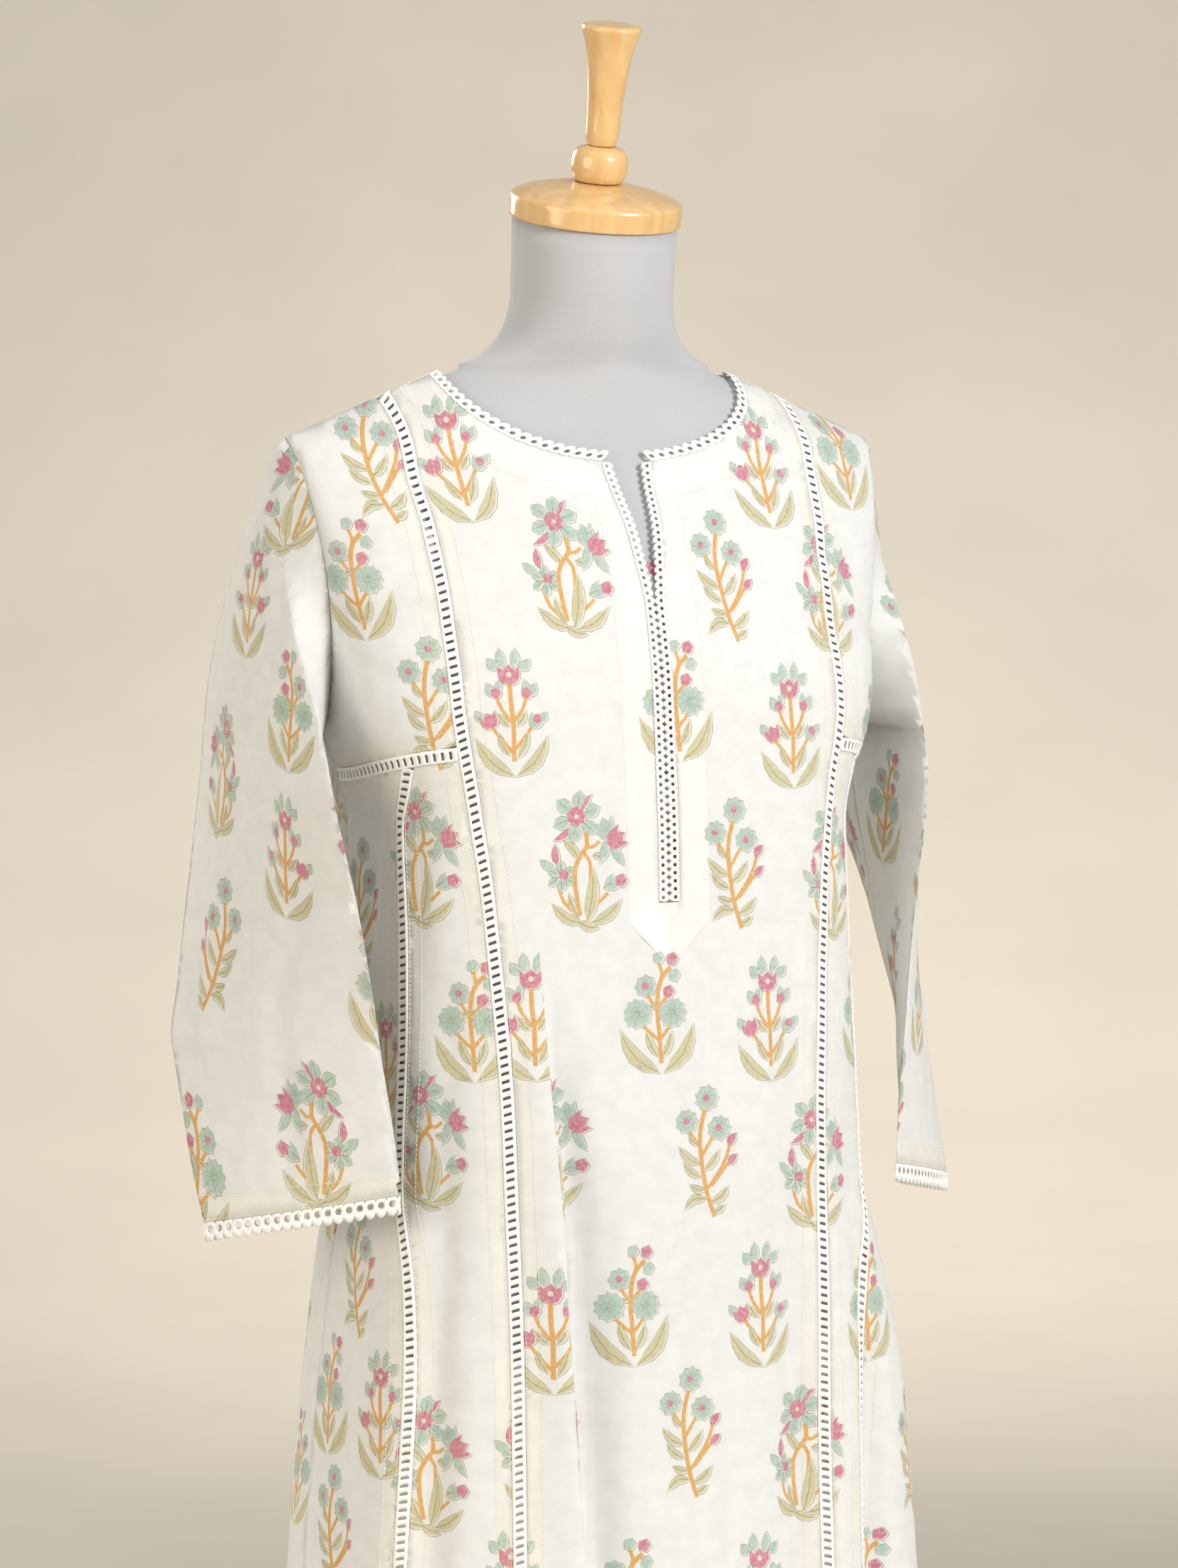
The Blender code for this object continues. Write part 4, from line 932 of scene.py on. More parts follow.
clothLook = {"rough": 0.86, "sheen": 0.25, "through": 0.42, "weave": 2600.0, "weaveBump": 0.10,
             "slub": 90.0, "inkGrain": 420.0}


def newMaterial(name):
    material = bpy.data.materials.new(name)
    material.use_nodes = True
    nodes = material.node_tree.nodes
    return material, nodes, material.node_tree.links, nodes["Principled BSDF"]


def clothMaterial(name, shade, fade=0.0):
    # thin woven cotton; ink lets the ground show through in grains
    material, nodes, links, shader = newMaterial(name)
    place = nodes.new("ShaderNodeUVMap")
    place.uv_map = "cloth"
    slub = nodes.new("ShaderNodeTexNoise")
    slub.inputs["Scale"].default_value = clothLook["slub"]
    slub.inputs["Detail"].default_value = 4.0
    links.new(place.outputs["UV"], slub.inputs["Vector"])
    ramp = nodes.new("ShaderNodeValToRGB")
    base = linear(shade)
    ramp.color_ramp.elements[0].position = 0.35
    ramp.color_ramp.elements[0].color = tuple(part * 0.955 for part in base[:3]) + (1.0,)
    ramp.color_ramp.elements[1].position = 0.65
    ramp.color_ramp.elements[1].color = base
    links.new(slub.outputs["Fac"], ramp.inputs["Fac"])
    colour = ramp.outputs["Color"]
    if fade:
        grain = nodes.new("ShaderNodeTexNoise")
        grain.inputs["Scale"].default_value = clothLook["inkGrain"]
        grain.inputs["Detail"].default_value = 5.0
        links.new(place.outputs["UV"], grain.inputs["Vector"])
        spread = nodes.new("ShaderNodeMapRange")
        spread.inputs["From Min"].default_value = 0.38
        spread.inputs["From Max"].default_value = 0.68
        spread.inputs["To Max"].default_value = fade
        links.new(grain.outputs["Fac"], spread.inputs["Value"])
        blend = nodes.new("ShaderNodeMix")
        blend.data_type = "RGBA"
        links.new(spread.outputs["Result"], blend.inputs["Factor"])
        links.new(colour, blend.inputs[6])
        blend.inputs[7].default_value = linear(shades["cloth"])
        colour = blend.outputs[2]
    links.new(colour, shader.inputs["Base Color"])
    shader.inputs["Roughness"].default_value = clothLook["rough"]
    shader.inputs["Sheen Weight"].default_value = clothLook["sheen"]
    shader.inputs["Specular IOR Level"].default_value = 0.2
    weave = nodes.new("ShaderNodeTexNoise")
    weave.inputs["Scale"].default_value = clothLook["weave"]
    links.new(place.outputs["UV"], weave.inputs["Vector"])
    bump = nodes.new("ShaderNodeBump")
    bump.inputs["Strength"].default_value = clothLook["weaveBump"]
    bump.inputs["Distance"].default_value = 0.0004
    links.new(weave.outputs["Fac"], bump.inputs["Height"])
    links.new(bump.outputs["Normal"], shader.inputs["Normal"])
    thin = nodes.new("ShaderNodeBsdfTranslucent")
    links.new(colour, thin.inputs["Color"])
    both = nodes.new("ShaderNodeMixShader")
    both.inputs["Fac"].default_value = clothLook["through"]
    links.new(shader.outputs["BSDF"], both.inputs[1])
    links.new(thin.outputs["BSDF"], both.inputs[2])
    links.new(both.outputs["Shader"], nodes["Material Output"].inputs["Surface"])
    return material


def plainMaterial(name, shade, rough, grain=600.0, bumpSize=0.0, sheen=0.0, gloss=0.3):
    material, nodes, links, shader = newMaterial(name)
    place = nodes.new("ShaderNodeTexCoord")
    noise = nodes.new("ShaderNodeTexNoise")
    noise.inputs["Scale"].default_value = grain
    noise.inputs["Detail"].default_value = 4.0
    links.new(place.outputs["Object"], noise.inputs["Vector"])
    ramp = nodes.new("ShaderNodeValToRGB")
    base = linear(shade)
    ramp.color_ramp.elements[0].position = 0.3
    ramp.color_ramp.elements[0].color = tuple(part * 0.93 for part in base[:3]) + (1.0,)
    ramp.color_ramp.elements[1].position = 0.7
    ramp.color_ramp.elements[1].color = base
    links.new(noise.outputs["Fac"], ramp.inputs["Fac"])
    links.new(ramp.outputs["Color"], shader.inputs["Base Color"])
    shader.inputs["Roughness"].default_value = rough
    shader.inputs["Sheen Weight"].default_value = sheen
    shader.inputs["Specular IOR Level"].default_value = gloss
    if bumpSize:
        bump = nodes.new("ShaderNodeBump")
        bump.inputs["Strength"].default_value = 0.4
        bump.inputs["Distance"].default_value = bumpSize
        links.new(noise.outputs["Fac"], bump.inputs["Height"])
        links.new(bump.outputs["Normal"], shader.inputs["Normal"])
    return material


inkFades = {"outline": 0.25, "mustard": 0.22, "khaki": 0.3, "sage": 0.4, "rose": 0.35, "pale": 0.2}
printedCloth = [clothMaterial("cambric", shades["cloth"])]
printedCloth += [clothMaterial(name, shades[name], inkFades[name]) for name in
                 ("outline", "mustard", "khaki", "sage", "rose", "pale")]
printedCloth += [clothMaterial("seamBand", shades["band"]), clothMaterial("doubleCloth", shades["double"])]
bandSlot, doubleSlot = 7, 8
threadMaterial = plainMaterial("laceThread", shades["thread"], 0.8, 900.0, 0.0002, 0.2)
stitchMaterial = plainMaterial("topstitch", shades["stitch"], 0.7)
jerseyMaterial = plainMaterial("jersey", shades["jersey"], 0.9, 1400.0, 0.0002, 0.3)
print("materials made")

# sprigs on the front by where they lie: kind, run, drop, turn
frontPrint = (
    ("lily", -0.052, 0.120, 0), ("lily", -0.054, 0.300, 2), ("lily", -0.0815, 0.474, 0),
    ("lily", -0.090, 0.656, 0), ("lily", -0.088, 0.834, 0), ("lily", -0.084, 1.014, 0),
    ("lily", 0.138, 0.136, -3), ("lily", 0.128, 0.314, 0), ("lily", 0.106, 0.496, 0),
    ("lily", 0.094, 0.678, 0), ("lily", 0.090, 0.860, 0), ("lily", 0.088, 1.042, 0),
    ("lily", -0.160, 0.298, 0), ("lily", -0.160, 0.472, 0), ("lily", -0.162, 0.672, 0),
    ("lily", -0.166, 0.852, 0), ("lily", -0.170, 1.032, 0), ("triple", 0.052, 0.126, 0),
    ("triple", 0.046, 0.304, 0), ("triple", 0.022, 0.482, 0), ("triple", 0.008, 0.656, 0),
    ("triple", 0.004, 0.838, 0), ("triple", 0.002, 1.020, 0), ("triple", -0.162, 0.052, 4),
    ("triple", -0.148, 0.202, 0), ("triple", -0.228, 0.558, 0), ("triple", -0.250, 0.722, 0),
    ("triple", -0.262, 0.904, 0), ("triple", -0.226, 0.330, 0), ("tulip", -0.112, 0.054, 4),
    ("tulip", -0.100, 0.210, 0), ("tulip", -0.092, 0.396, 0), ("tulip", -0.086, 0.588, 0),
    ("tulip", -0.112, 0.750, 0), ("tulip", -0.114, 0.932, 0), ("tulip", 0.098, 0.060, -4),
    ("tulip", 0.090, 0.222, 0), ("tulip", 0.068, 0.404, 0), ("tulip", 0.058, 0.582, 0),
    ("tulip", 0.054, 0.764, 0), ("tulip", 0.052, 0.946, 0), ("tulip", -0.198, 0.644, 0),
    ("tulip", -0.208, 0.826, 0), ("tulip", -0.196, 0.430, 0), ("tulip", -0.214, 1.008, 0),
    ("daisy", 0.008, 0.204, 0), ("daisy", -0.010, 0.396, 0), ("daisy", -0.032, 0.576, 0),
    ("daisy", -0.036, 0.758, 0), ("daisy", -0.036, 0.940, 0), ("daisy", -0.190, 0.128, 0),
    ("daisy", -0.130, 0.398, 0), ("daisy", 0.172, 0.050, -4), ("daisy", 0.184, 0.222, 0),
    ("daisy", 0.160, 0.404, 0), ("daisy", 0.150, 0.590, 0), ("daisy", 0.148, 0.772, 0),
    ("daisy", 0.148, 0.954, 0), ("triple", 0.232, 0.150, 0), ("triple", 0.222, 0.320, 0),
    ("triple", 0.204, 0.500, 0), ("triple", 0.198, 0.690, 0), ("triple", 0.196, 0.870, 0),
    ("triple", 0.196, 1.050, 0), ("tulip", 0.240, 0.600, 0), ("tulip", 0.248, 0.780, 0),
    ("tulip", 0.250, 0.960, 0), ("lily", 0.292, 0.680, 0), ("lily", 0.296, 0.860, 0),
    ("lily", 0.300, 1.040, 0), ("daisy", -0.286, 0.820, 0), ("daisy", -0.290, 1.000, 0),
    ("daisy", -0.262, 0.640, 0),
)


def printLattice(low, high, top, bottom, start=0.0):
    # the same half-drop order on what the picture leaves unseen
    marks = []
    u = low + start
    while u < high + 0.1:
        v = top
        while v < bottom + 0.1:
            marks += [("lily", u, v, 0), ("triple", u + 0.100, v + 0.006, 0),
                      ("tulip", u - 0.046, v + 0.092, 0), ("daisy", u + 0.056, v + 0.086, 0)]
            v += printRows["rise"]
        u += printRows["step"]
    return marks


sleevePrint = {
    -1: (("lily", 0.162, 0.306, 14), ("tulip", 0.118, 0.410, 14), ("lily", -0.022, 0.462, 14),
         ("daisy", -0.098, 0.378, 14), ("daisy", 0.142, 0.212, 10), ("triple", 0.078, 0.136, 6),
         ("triple", 0.040, 0.356, 14), ("lily", 0.040, 0.250, 10), ("tulip", -0.040, 0.300, 12),
         ("tulip", -0.010, 0.140, 4), ("lily", -0.034, 0.070, 0), ("daisy", -0.060, 0.210, 8),
         ("lily", -0.120, 0.280, 10), ("triple", -0.160, 0.380, 12), ("tulip", -0.130, 0.470, 12),
         ("lily", 0.170, 0.470, 12), ("daisy", 0.070, 0.480, 14)),
    1: (("lily", 0.030, 0.130, -4), ("triple", -0.050, 0.170, -6), ("tulip", -0.010, 0.230, -8),
        ("daisy", 0.080, 0.220, -6), ("lily", -0.070, 0.300, -12), ("triple", 0.030, 0.320, -12),
        ("tulip", -0.130, 0.380, -12), ("daisy", -0.040, 0.400, -12), ("lily", 0.060, 0.420, -12),
        ("triple", -0.090, 0.470, -12), ("lily", 0.150, 0.310, -10), ("tulip", 0.130, 0.400, -12),
        ("daisy", -0.150, 0.280, -10), ("triple", -0.160, 0.460, -10), ("daisy", 0.120, 0.480, -12),
        ("tulip", 0.070, 0.070, 0), ("daisy", -0.030, 0.070, 0)),
}

seams = {"bandWidth": 0.0100, "facingBand": 0.023, "hemDepth": 0.022, "edgeStitch": 0.0014}


def edgeBand(line, width, toward):
    # seam allowance seen through the cloth, from an edge towards the panel
    line = np.array(line)
    return np.concatenate((line, (line + (toward * width, 0.0))[::-1]))


def clipped(marks, low, high):
    return [mark for mark in marks if low - 0.06 < mark[1] < high + 0.06]


hem = kurta["length"]
pieces = {}
stitchLines = []


def lineOf(function, side, offset, top, bottom):
    return [(side * (function(drop) + offset), drop) for drop in dropsBetween(top, bottom)]


def princess(side, offset):
    return lambda drop: stripRun(princessRows, drop, side, offset)


def sideLine(side, offset):
    return lambda drop: stripRun(sideRows, drop, side, offset)


def seamLine(side):
    return lambda drop: wholeRun(drop, 1, side) - kurta["seam"]


def hemPatch(low, high):
    return np.array(((low, hem - seams["hemDepth"]), (high, hem - seams["hemDepth"]), (high, hem + 0.01),
                     (low, hem + 0.01)))


def crossLine(side, offset, low, high):
    return [(side * run, crossDrop(run, side) + offset) for run in np.linspace(low, high, 24)]


def foldEdge(drop):
    # run of the crest of the deep fold beside the wearer's right princess strip
    _, _, atStart, atHem, _, _, top, _, _ = foldRows[0]
    share = atStart + (atHem - atStart) * (drop - top) / (kurta["length"] - top)
    return -share * float(wholeRun(drop, 1, -1))


def cutShape(shape, start, end, keep):
    # part of a shape on one side of a line
    across, along = end[0] - start[0], end[1] - start[1]
    side = keep * (across * (shape[:, 1] - start[1]) - along * (shape[:, 0] - start[0]))
    kept = []
    for i in range(len(shape)):
        j = (i + 1) % len(shape)
        if side[i] >= 0:
            kept.append(shape[i])
        if (side[i] >= 0) != (side[j] >= 0):
            kept.append(shape[i] + (shape[j] - shape[i]) * side[i] / (side[i] - side[j]))
    return np.array(kept)


def printAtFold(marks):
    # sprigs that run into the fold go on inside it, out of sight
    patches = []
    for kind, u, v, turn in marks:
        laid = placedPrint(((kind, u, v, turn),))
        if v > 0.36 and kind in ("lily", "tulip") and abs(u - foldEdge(v)) < 0.036:
            start, end = ((foldEdge(v + step), v + step) for step in (-0.04, 0.04))
            laid = [(slot, cutShape(shape, start, end, -1 if kind == "lily" else 1)) for slot, shape in laid]
            laid = [(slot, shape) for slot, shape in laid if len(shape) > 2]
        patches += laid
    return patches


def makeCentre():
    patches = []
    band = seams["bandWidth"]
    for side in (-1, 1):
        edge = lineOf(princess(side, -halfStrip), side, 0.0, stripTop(princessRows, side, -halfStrip), hem)
        patches.append((bandSlot, edgeBand(edge, band, -side)))
        stitchLines.append((frontPlace, [(u - side * band, v) for u, v in edge[2:]]))
        stitchLines.append((frontPlace, [(u - side * seams["edgeStitch"], v) for u, v in edge[1:]]))
    # facing: a whiter double layer round the neck and down to a point
    bend = math.acos(kurta["slitTop"] / kurta["neckHalf"])
    for side in (-1, 1):
        inner, outer = [], []
        for t in np.linspace(0.0, 1.0, 24):
            drop = kurta["frontNeck"] * math.sin(bend * t)
            x = kurta["neckHalf"] * math.cos(bend * t)
            inner.append((side * runAtX(drop, 1, side, x), drop))
            wide = kurta["neckHalf"] + seams["facingBand"]
            drop = (kurta["frontNeck"] + seams["facingBand"]) * math.sin(bend * t)
            outer.append((side * runAtX(drop, 1, side, wide * math.cos(bend * t)), drop))
        corner = kurta["facingHalf"]
        inner += [(side * neckHalf(drop, 1), drop) for drop in (0.08, 0.12, 0.20, 0.327)] + [(0.0, 0.330)]
        outer = [point for point in outer if abs(point[0]) > corner]
        outer += [(side * corner, kurta["frontNeck"] + seams["facingBand"] + 0.003), (side * corner, 0.2),
                  (side * corner, kurta["facingSquare"]), (0.0, kurta["facingPoint"])]
        patches.append((doubleSlot, np.array(inner + outer[::-1])))
        stitchLines.append((frontPlace, outer))
    patches.append((bandSlot, hemPatch(-0.2, 0.2)))
    stitchLines.append((frontPlace, [(u, hem - seams["hemDepth"]) for u in np.linspace(-0.105, 0.105, 60)]))
    outline = centreOutline()
    patches += printAtFold(clipped(frontPrint, -0.12, 0.12))
    folds = [[(foldEdge(drop) + step, drop) for drop in np.arange(0.40, hem - 0.004, 0.008)]
             for step in (-0.002, 0.0, 0.003, 0.006)]
    panel = makeCloth("kurtaFrontCentre", outline, frontPlace, patches, printedCloth, folds)
    pieces["front_centre"] = (panel, outline)


makeCentre()
print("centre front made")

# printed piece under the slit, seen between the laces and through their holes
underlay = {"half": 0.021, "top": 0.116, "bottom": 0.334, "behind": -0.0030}


def makeUnderlay():
    half, top, bottom = underlay["half"], underlay["top"], underlay["bottom"]
    outline = [(-half, top), (half, top), (half, bottom), (-half, bottom)]
    patches = placedPrint((("lily", -0.014, 0.132, 0), ("daisy", 0.004, 0.204, 0),
                           ("triple", -0.006, 0.262, 0), ("tulip", 0.006, 0.316, 0)), False)
    return makeCloth("slitUnderlay", outline, frontPlace, patches, printedCloth, lift=underlay["behind"])


underlayPiece = makeUnderlay()
print("underlay made")


def makeSidePieces(side, label):
    band = seams["bandWidth"]
    hemLine = hem - seams["hemDepth"]
    marks = frontPrint
    low, high = (-0.36, 0.02) if side < 0 else (-0.02, 0.36)
    # yoke
    outline = yokeOutline(side)
    inner = lineOf(princess(side, halfStrip), side, 0.0, stripTop(princessRows, side, halfStrip) + 0.0005,
                   kurta["crossDrop"] - halfStrip)
    cross = crossLine(side, -halfStrip, abs(inner[-1][0]), wholeRun(0.25, 1, side))
    patches = [(bandSlot, edgeBand(inner, band, side)),
               (bandSlot, np.array(cross + [(u, v - band) for u, v in cross[::-1]]))]
    stitchLines.append((frontPlace, [(u + side * band, v) for u, v in inner[4:]]))
    stitchLines.append((frontPlace, [(u, v - band) for u, v in cross[1:-1]]))
    stitchLines.append((frontPlace, [(u + side * seams["edgeStitch"], v) for u, v in inner[2:]]))
    stitchLines.append((frontPlace, [(u, v - seams["edgeStitch"]) for u, v in cross[1:-1]]))
    patches += placedPrint(clipped(marks, *sorted((inner[0][0], side * 0.27))))
    pieces["front_yoke_" + label] = (makeCloth("kurtaYoke" + label.title(), outline, frontPlace, patches,
                                               printedCloth), outline)
    # panel between the princess strip and the side strip
    outline = lowerOutline(side, princess(side, halfStrip), sideLine(side, -halfStrip))
    start = kurta["crossDrop"] + halfStrip
    inner = lineOf(princess(side, halfStrip), side, 0.0, start, hem)
    outer = lineOf(sideLine(side, -halfStrip), side, 0.0, start, hem)
    cross = crossLine(side, halfStrip, abs(inner[0][0]), abs(outer[0][0]))
    patches = [(bandSlot, edgeBand(inner, band, side)), (bandSlot, edgeBand(outer, band, -side)),
               (bandSlot, np.array(cross + [(u, v + band) for u, v in cross[::-1]])),
               (bandSlot, hemPatch(low, high))]
    stitchLines.append((frontPlace, [(u + side * band, v) for u, v in inner[2:]]))
    stitchLines.append((frontPlace, [(u - side * band, v) for u, v in outer[2:]]))
    stitchLines.append((frontPlace, [(u + side * seams["edgeStitch"], v) for u, v in inner[1:]]))
    stitchLines.append((frontPlace, [(u - side * seams["edgeStitch"], v) for u, v in outer[1:]]))
    stitchLines.append((frontPlace, [(u, v + band) for u, v in cross[3:-3]]))
    stitchLines.append((frontPlace, [(u, v + seams["edgeStitch"]) for u, v in cross[1:-1]]))
    stitchLines.append((frontPlace, [(u, hemLine) for u in np.linspace(inner[-1][0], outer[-1][0], 30)]))
    patches += placedPrint(clipped(marks, *sorted((inner[0][0], outer[-1][0]))))
    pieces["front_mid_" + label] = (makeCloth("kurtaMid" + label.title(), outline, frontPlace, patches,
                                              printedCloth), outline)
    # panel from the side strip to the side seam
    outline = lowerOutline(side, sideLine(side, halfStrip), seamLine(side))
    inner = lineOf(sideLine(side, halfStrip), side, 0.0, start + 0.006, hem)
    cross = crossLine(side, halfStrip, abs(inner[0][0]), wholeRun(0.25, 1, side))
    patches = [(bandSlot, edgeBand(inner, band, side)),
               (bandSlot, np.array(cross + [(u, v + band) for u, v in cross[::-1]])),
               (bandSlot, hemPatch(low, high))]
    stitchLines.append((frontPlace, [(u + side * band, v) for u, v in inner[2:]]))
    stitchLines.append((frontPlace, [(u + side * seams["edgeStitch"], v) for u, v in inner[1:]]))
    end = side * wholeRun(hem, 1, side)
    stitchLines.append((frontPlace, [(u, hemLine) for u in np.linspace(inner[-1][0], end, 30)]))
    patches += placedPrint(clipped(marks, *sorted((inner[0][0], end))))
    pieces["front_side_" + label] = (makeCloth("kurtaSide" + label.title(), outline, frontPlace, patches,
                                               printedCloth), outline)


for side, label in ((-1, "right"), (1, "left")):
    makeSidePieces(side, label)
print("side pieces made")

outline = backOutline()
patches = [(bandSlot, hemPatch(-0.36, 0.36))]
patches += placedPrint(printLattice(-0.33, 0.33, 0.060, 1.09, 0.03), False)
pieces["back"] = (makeCloth("kurtaBack", outline, backPlace, patches, printedCloth), outline)
stitchLines.append((backPlace, [(u, hem - seams["hemDepth"]) for u in np.linspace(-0.31, 0.31, 160)]))
print("back made")


def makeSleeve(side, label):
    table = sleeves[side]
    outline = sleeveOutline(side)
    bottom = sleeve["cuff"]
    patches = [(bandSlot, np.array(((-0.3, bottom - sleeve["hemBand"]), (0.3, bottom - sleeve["hemBand"]),
                                    (0.3, bottom + 0.01), (-0.3, bottom + 0.01))))]
    patches += placedPrint(sleevePrint[side])
    creases = []
    for column in (ringSteps, 3 * ringSteps):
        creases.append([(table["run"][int(round((drop - sleeve["tip"]) / dropStep)), column], drop)
                        for drop in np.arange(0.050, bottom - 0.004, 0.006)])
    tube = makeCloth("kurtaSleeve" + label.title(), outline, sleevePlaces[side], patches,
                     printedCloth, creases)
    pieces["sleeve_" + label] = (tube, outline)
    low, high = table["run"][-1, 0] + 0.002, table["run"][-1, -1] - 0.002
    for up in (sleeve["hemBand"], 0.0016):
        stitchLines.append((sleevePlaces[side], [(u, bottom - up) for u in np.linspace(low, high, 120)]))


for side, label in ((-1, "right"), (1, "left")):
    makeSleeve(side, label)
print("sleeves made")


def meshThing(name, points, faces, material, smooth=True):
    mesh = bpy.data.meshes.new(name)
    mesh.from_pydata([tuple(p) for p in points], [], faces)
    mesh.polygons.foreach_set("use_smooth", [smooth] * len(faces))
    mesh.materials.append(material)
    mesh.update()
    thing = bpy.data.objects.new(name, mesh)
    bpy.context.scene.collection.objects.link(thing)
    return thing


# joined machine stitches along every line gathered above
stitch = {"pitch": 0.0029, "length": 0.0021, "half": 0.00022, "rise": 0.00030, "sink": -0.0001}


def makeStitches(name, lines):
    points, faces = [], []
    for place, line in lines:
        line = np.array(line, float)
        run = np.concatenate(([0.0], np.cumsum(np.linalg.norm(np.diff(line, axis=0), axis=1))))
        starts = np.arange(0.0005, run[-1] - stitch["length"], stitch["pitch"])
        if not len(starts):
            continue
        ends = starts + stitch["length"]
        a = np.stack([np.interp(starts, run, line[:, k]) for k in (0, 1)], axis=1)
        b = np.stack([np.interp(ends, run, line[:, k]) for k in (0, 1)], axis=1)
        way = (b - a) / np.linalg.norm(b - a, axis=1, keepdims=True)
        side = np.stack((-way[:, 1], way[:, 0]), axis=1) * stitch["half"]
        corners = []
        for end, tuck in ((a, 0.00025), (b, -0.00025)):
            for sign in (-1, 1):
                corners.append((end + side * sign * 1.0, stitch["sink"]))
                corners.append((end + way * tuck + side * sign * 0.6, stitch["rise"]))
        laid = [place(uv[:, 0], uv[:, 1], lift) for uv, lift in corners]
        base = len(points)
        block = np.stack(laid, axis=1).reshape(-1, 3)
        points += list(block)
        for i in range(len(starts)):
            k = base + 8 * i
            faces += [(k, k + 1, k + 5, k + 4), (k + 1, k + 3, k + 7, k + 5), (k + 3, k + 2, k + 6, k + 7),
                      (k, k + 2, k + 3, k + 1), (k + 4, k + 5, k + 7, k + 6)]
    return meshThing(name, points, faces, stitchMaterial, False)


makeStitches("topstitching", stitchLines)
print("topstitching made")


# ladder of thread bars between two rails
ladder = {"half": 0.0043, "rail": 0.0018, "pitch": 0.0050, "gap": 0.0018, "lift": 0.00035, "wall": 0.0006,
          "dome": 0.00035, "slant": 0.0011}


def makeLadder(name, node, stations, place, side, slant=ladder["slant"]):
    # stations: centre line as (run, drop) pairs; bars rise towards the middle of the front
    line = np.array(stations, float)
    run = np.concatenate(([0.0], np.cumsum(np.linalg.norm(np.diff(line, axis=0), axis=1))))
    cells = int(run[-1] / ladder["pitch"])
    pitch = run[-1] / cells
    along = []
    for i in range(cells):
        along += [i * pitch, i * pitch + 0.35 * (pitch - ladder["gap"]), (i + 1) * pitch - ladder["gap"]]
    along = np.array(along + [run[-1]])
    half, rail = ladder["half"], ladder["rail"]
    across = (-half, -half + rail, -half + rail + 0.0012, half - rail - 0.0012, half - rail, half)
    domes = (0.0, ladder["dome"], 0.0, 0.0, ladder["dome"], 0.0)
    columns = []
    for offset, dome in zip(across, domes):
        shifted = np.clip(along - side * slant * offset / half, 0.0, run[-1])
        spot = np.stack([np.interp(shifted, run, line[:, k]) for k in (0, 1)], axis=1)
        ahead = np.stack([np.interp(shifted + 0.001, run, line[:, k]) for k in (0, 1)], axis=1)
        behind = np.stack([np.interp(shifted - 0.001, run, line[:, k]) for k in (0, 1)], axis=1)
        way = (ahead - behind) / np.linalg.norm(ahead - behind, axis=1, keepdims=True)
        uv = spot + np.stack((-way[:, 1], way[:, 0]), axis=1) * offset
        limit = np.array([wholeRun(v, 1, side) - 0.0001 for v in uv[:, 1]])
        u = np.sign(uv[:, 0]) * np.minimum(np.abs(uv[:, 0]), limit)
        columns.append(place(u, uv[:, 1], ladder["lift"] + dome))
    points = np.stack(columns, axis=1)
    count = len(across)
    faces = []
    for i in range(len(along) - 1):
        opened = i % 3 == 2
        for k in range(count - 1):
            if opened and 1 <= k <= count - 3:
                continue
            a = i * count + k
            faces.append((a, a + 1, a + count + 1, a + count))
    thing = meshThing(name, points.reshape(-1, 3), faces, threadMaterial)
    facing(thing.data, place)
    wallUp(thing, ladder["wall"])
    pieces[node] = (thing, [(0, 0), (2 * half, 0), (2 * half, run[-1]), (0, run[-1])])
    return thing


for side, label in ((-1, "right"), (1, "left")):
    top = stripTop(princessRows, side, 0.0) + 0.0005
    line = [(side * stripRun(princessRows, drop, side), drop) for drop in dropsBetween(top, hem)]
    makeLadder("ladderPrincess" + label.title(), "princess_strip_" + label, line, frontPlace, side)
    start = crossDrop(stripRun(sideRows, 0.240, side), side) + ladder["half"]
    line = [(side * stripRun(sideRows, drop, side), drop) for drop in dropsBetween(start, hem)]
    makeLadder("ladderSide" + label.title(), "side_strip_" + label, line, frontPlace, side)
    low = stripRun(princessRows, kurta["crossDrop"], side) + ladder["half"]
    high = wholeRun(kurta["crossDrop"] + kurta["crossSlant"], 1, side) - 0.0004
    line = [(side * run, crossDrop(run, side)) for run in np.linspace(low, high, 40)]
    makeLadder("ladderCross" + label.title(), "cross_strip_" + label, line, frontPlace, side, 0.0)
print("ladders made")


# picot lace: a row of rings with scalloped edge
lace = {"pitch": 0.0072, "lift": 0.0003, "wall": 0.0006, "steps": 20, "rise": 0.0003,
        "neckHole": (0.50, 0.40, -0.10), "cuffHole": (0.62, 0.37, -0.22)}


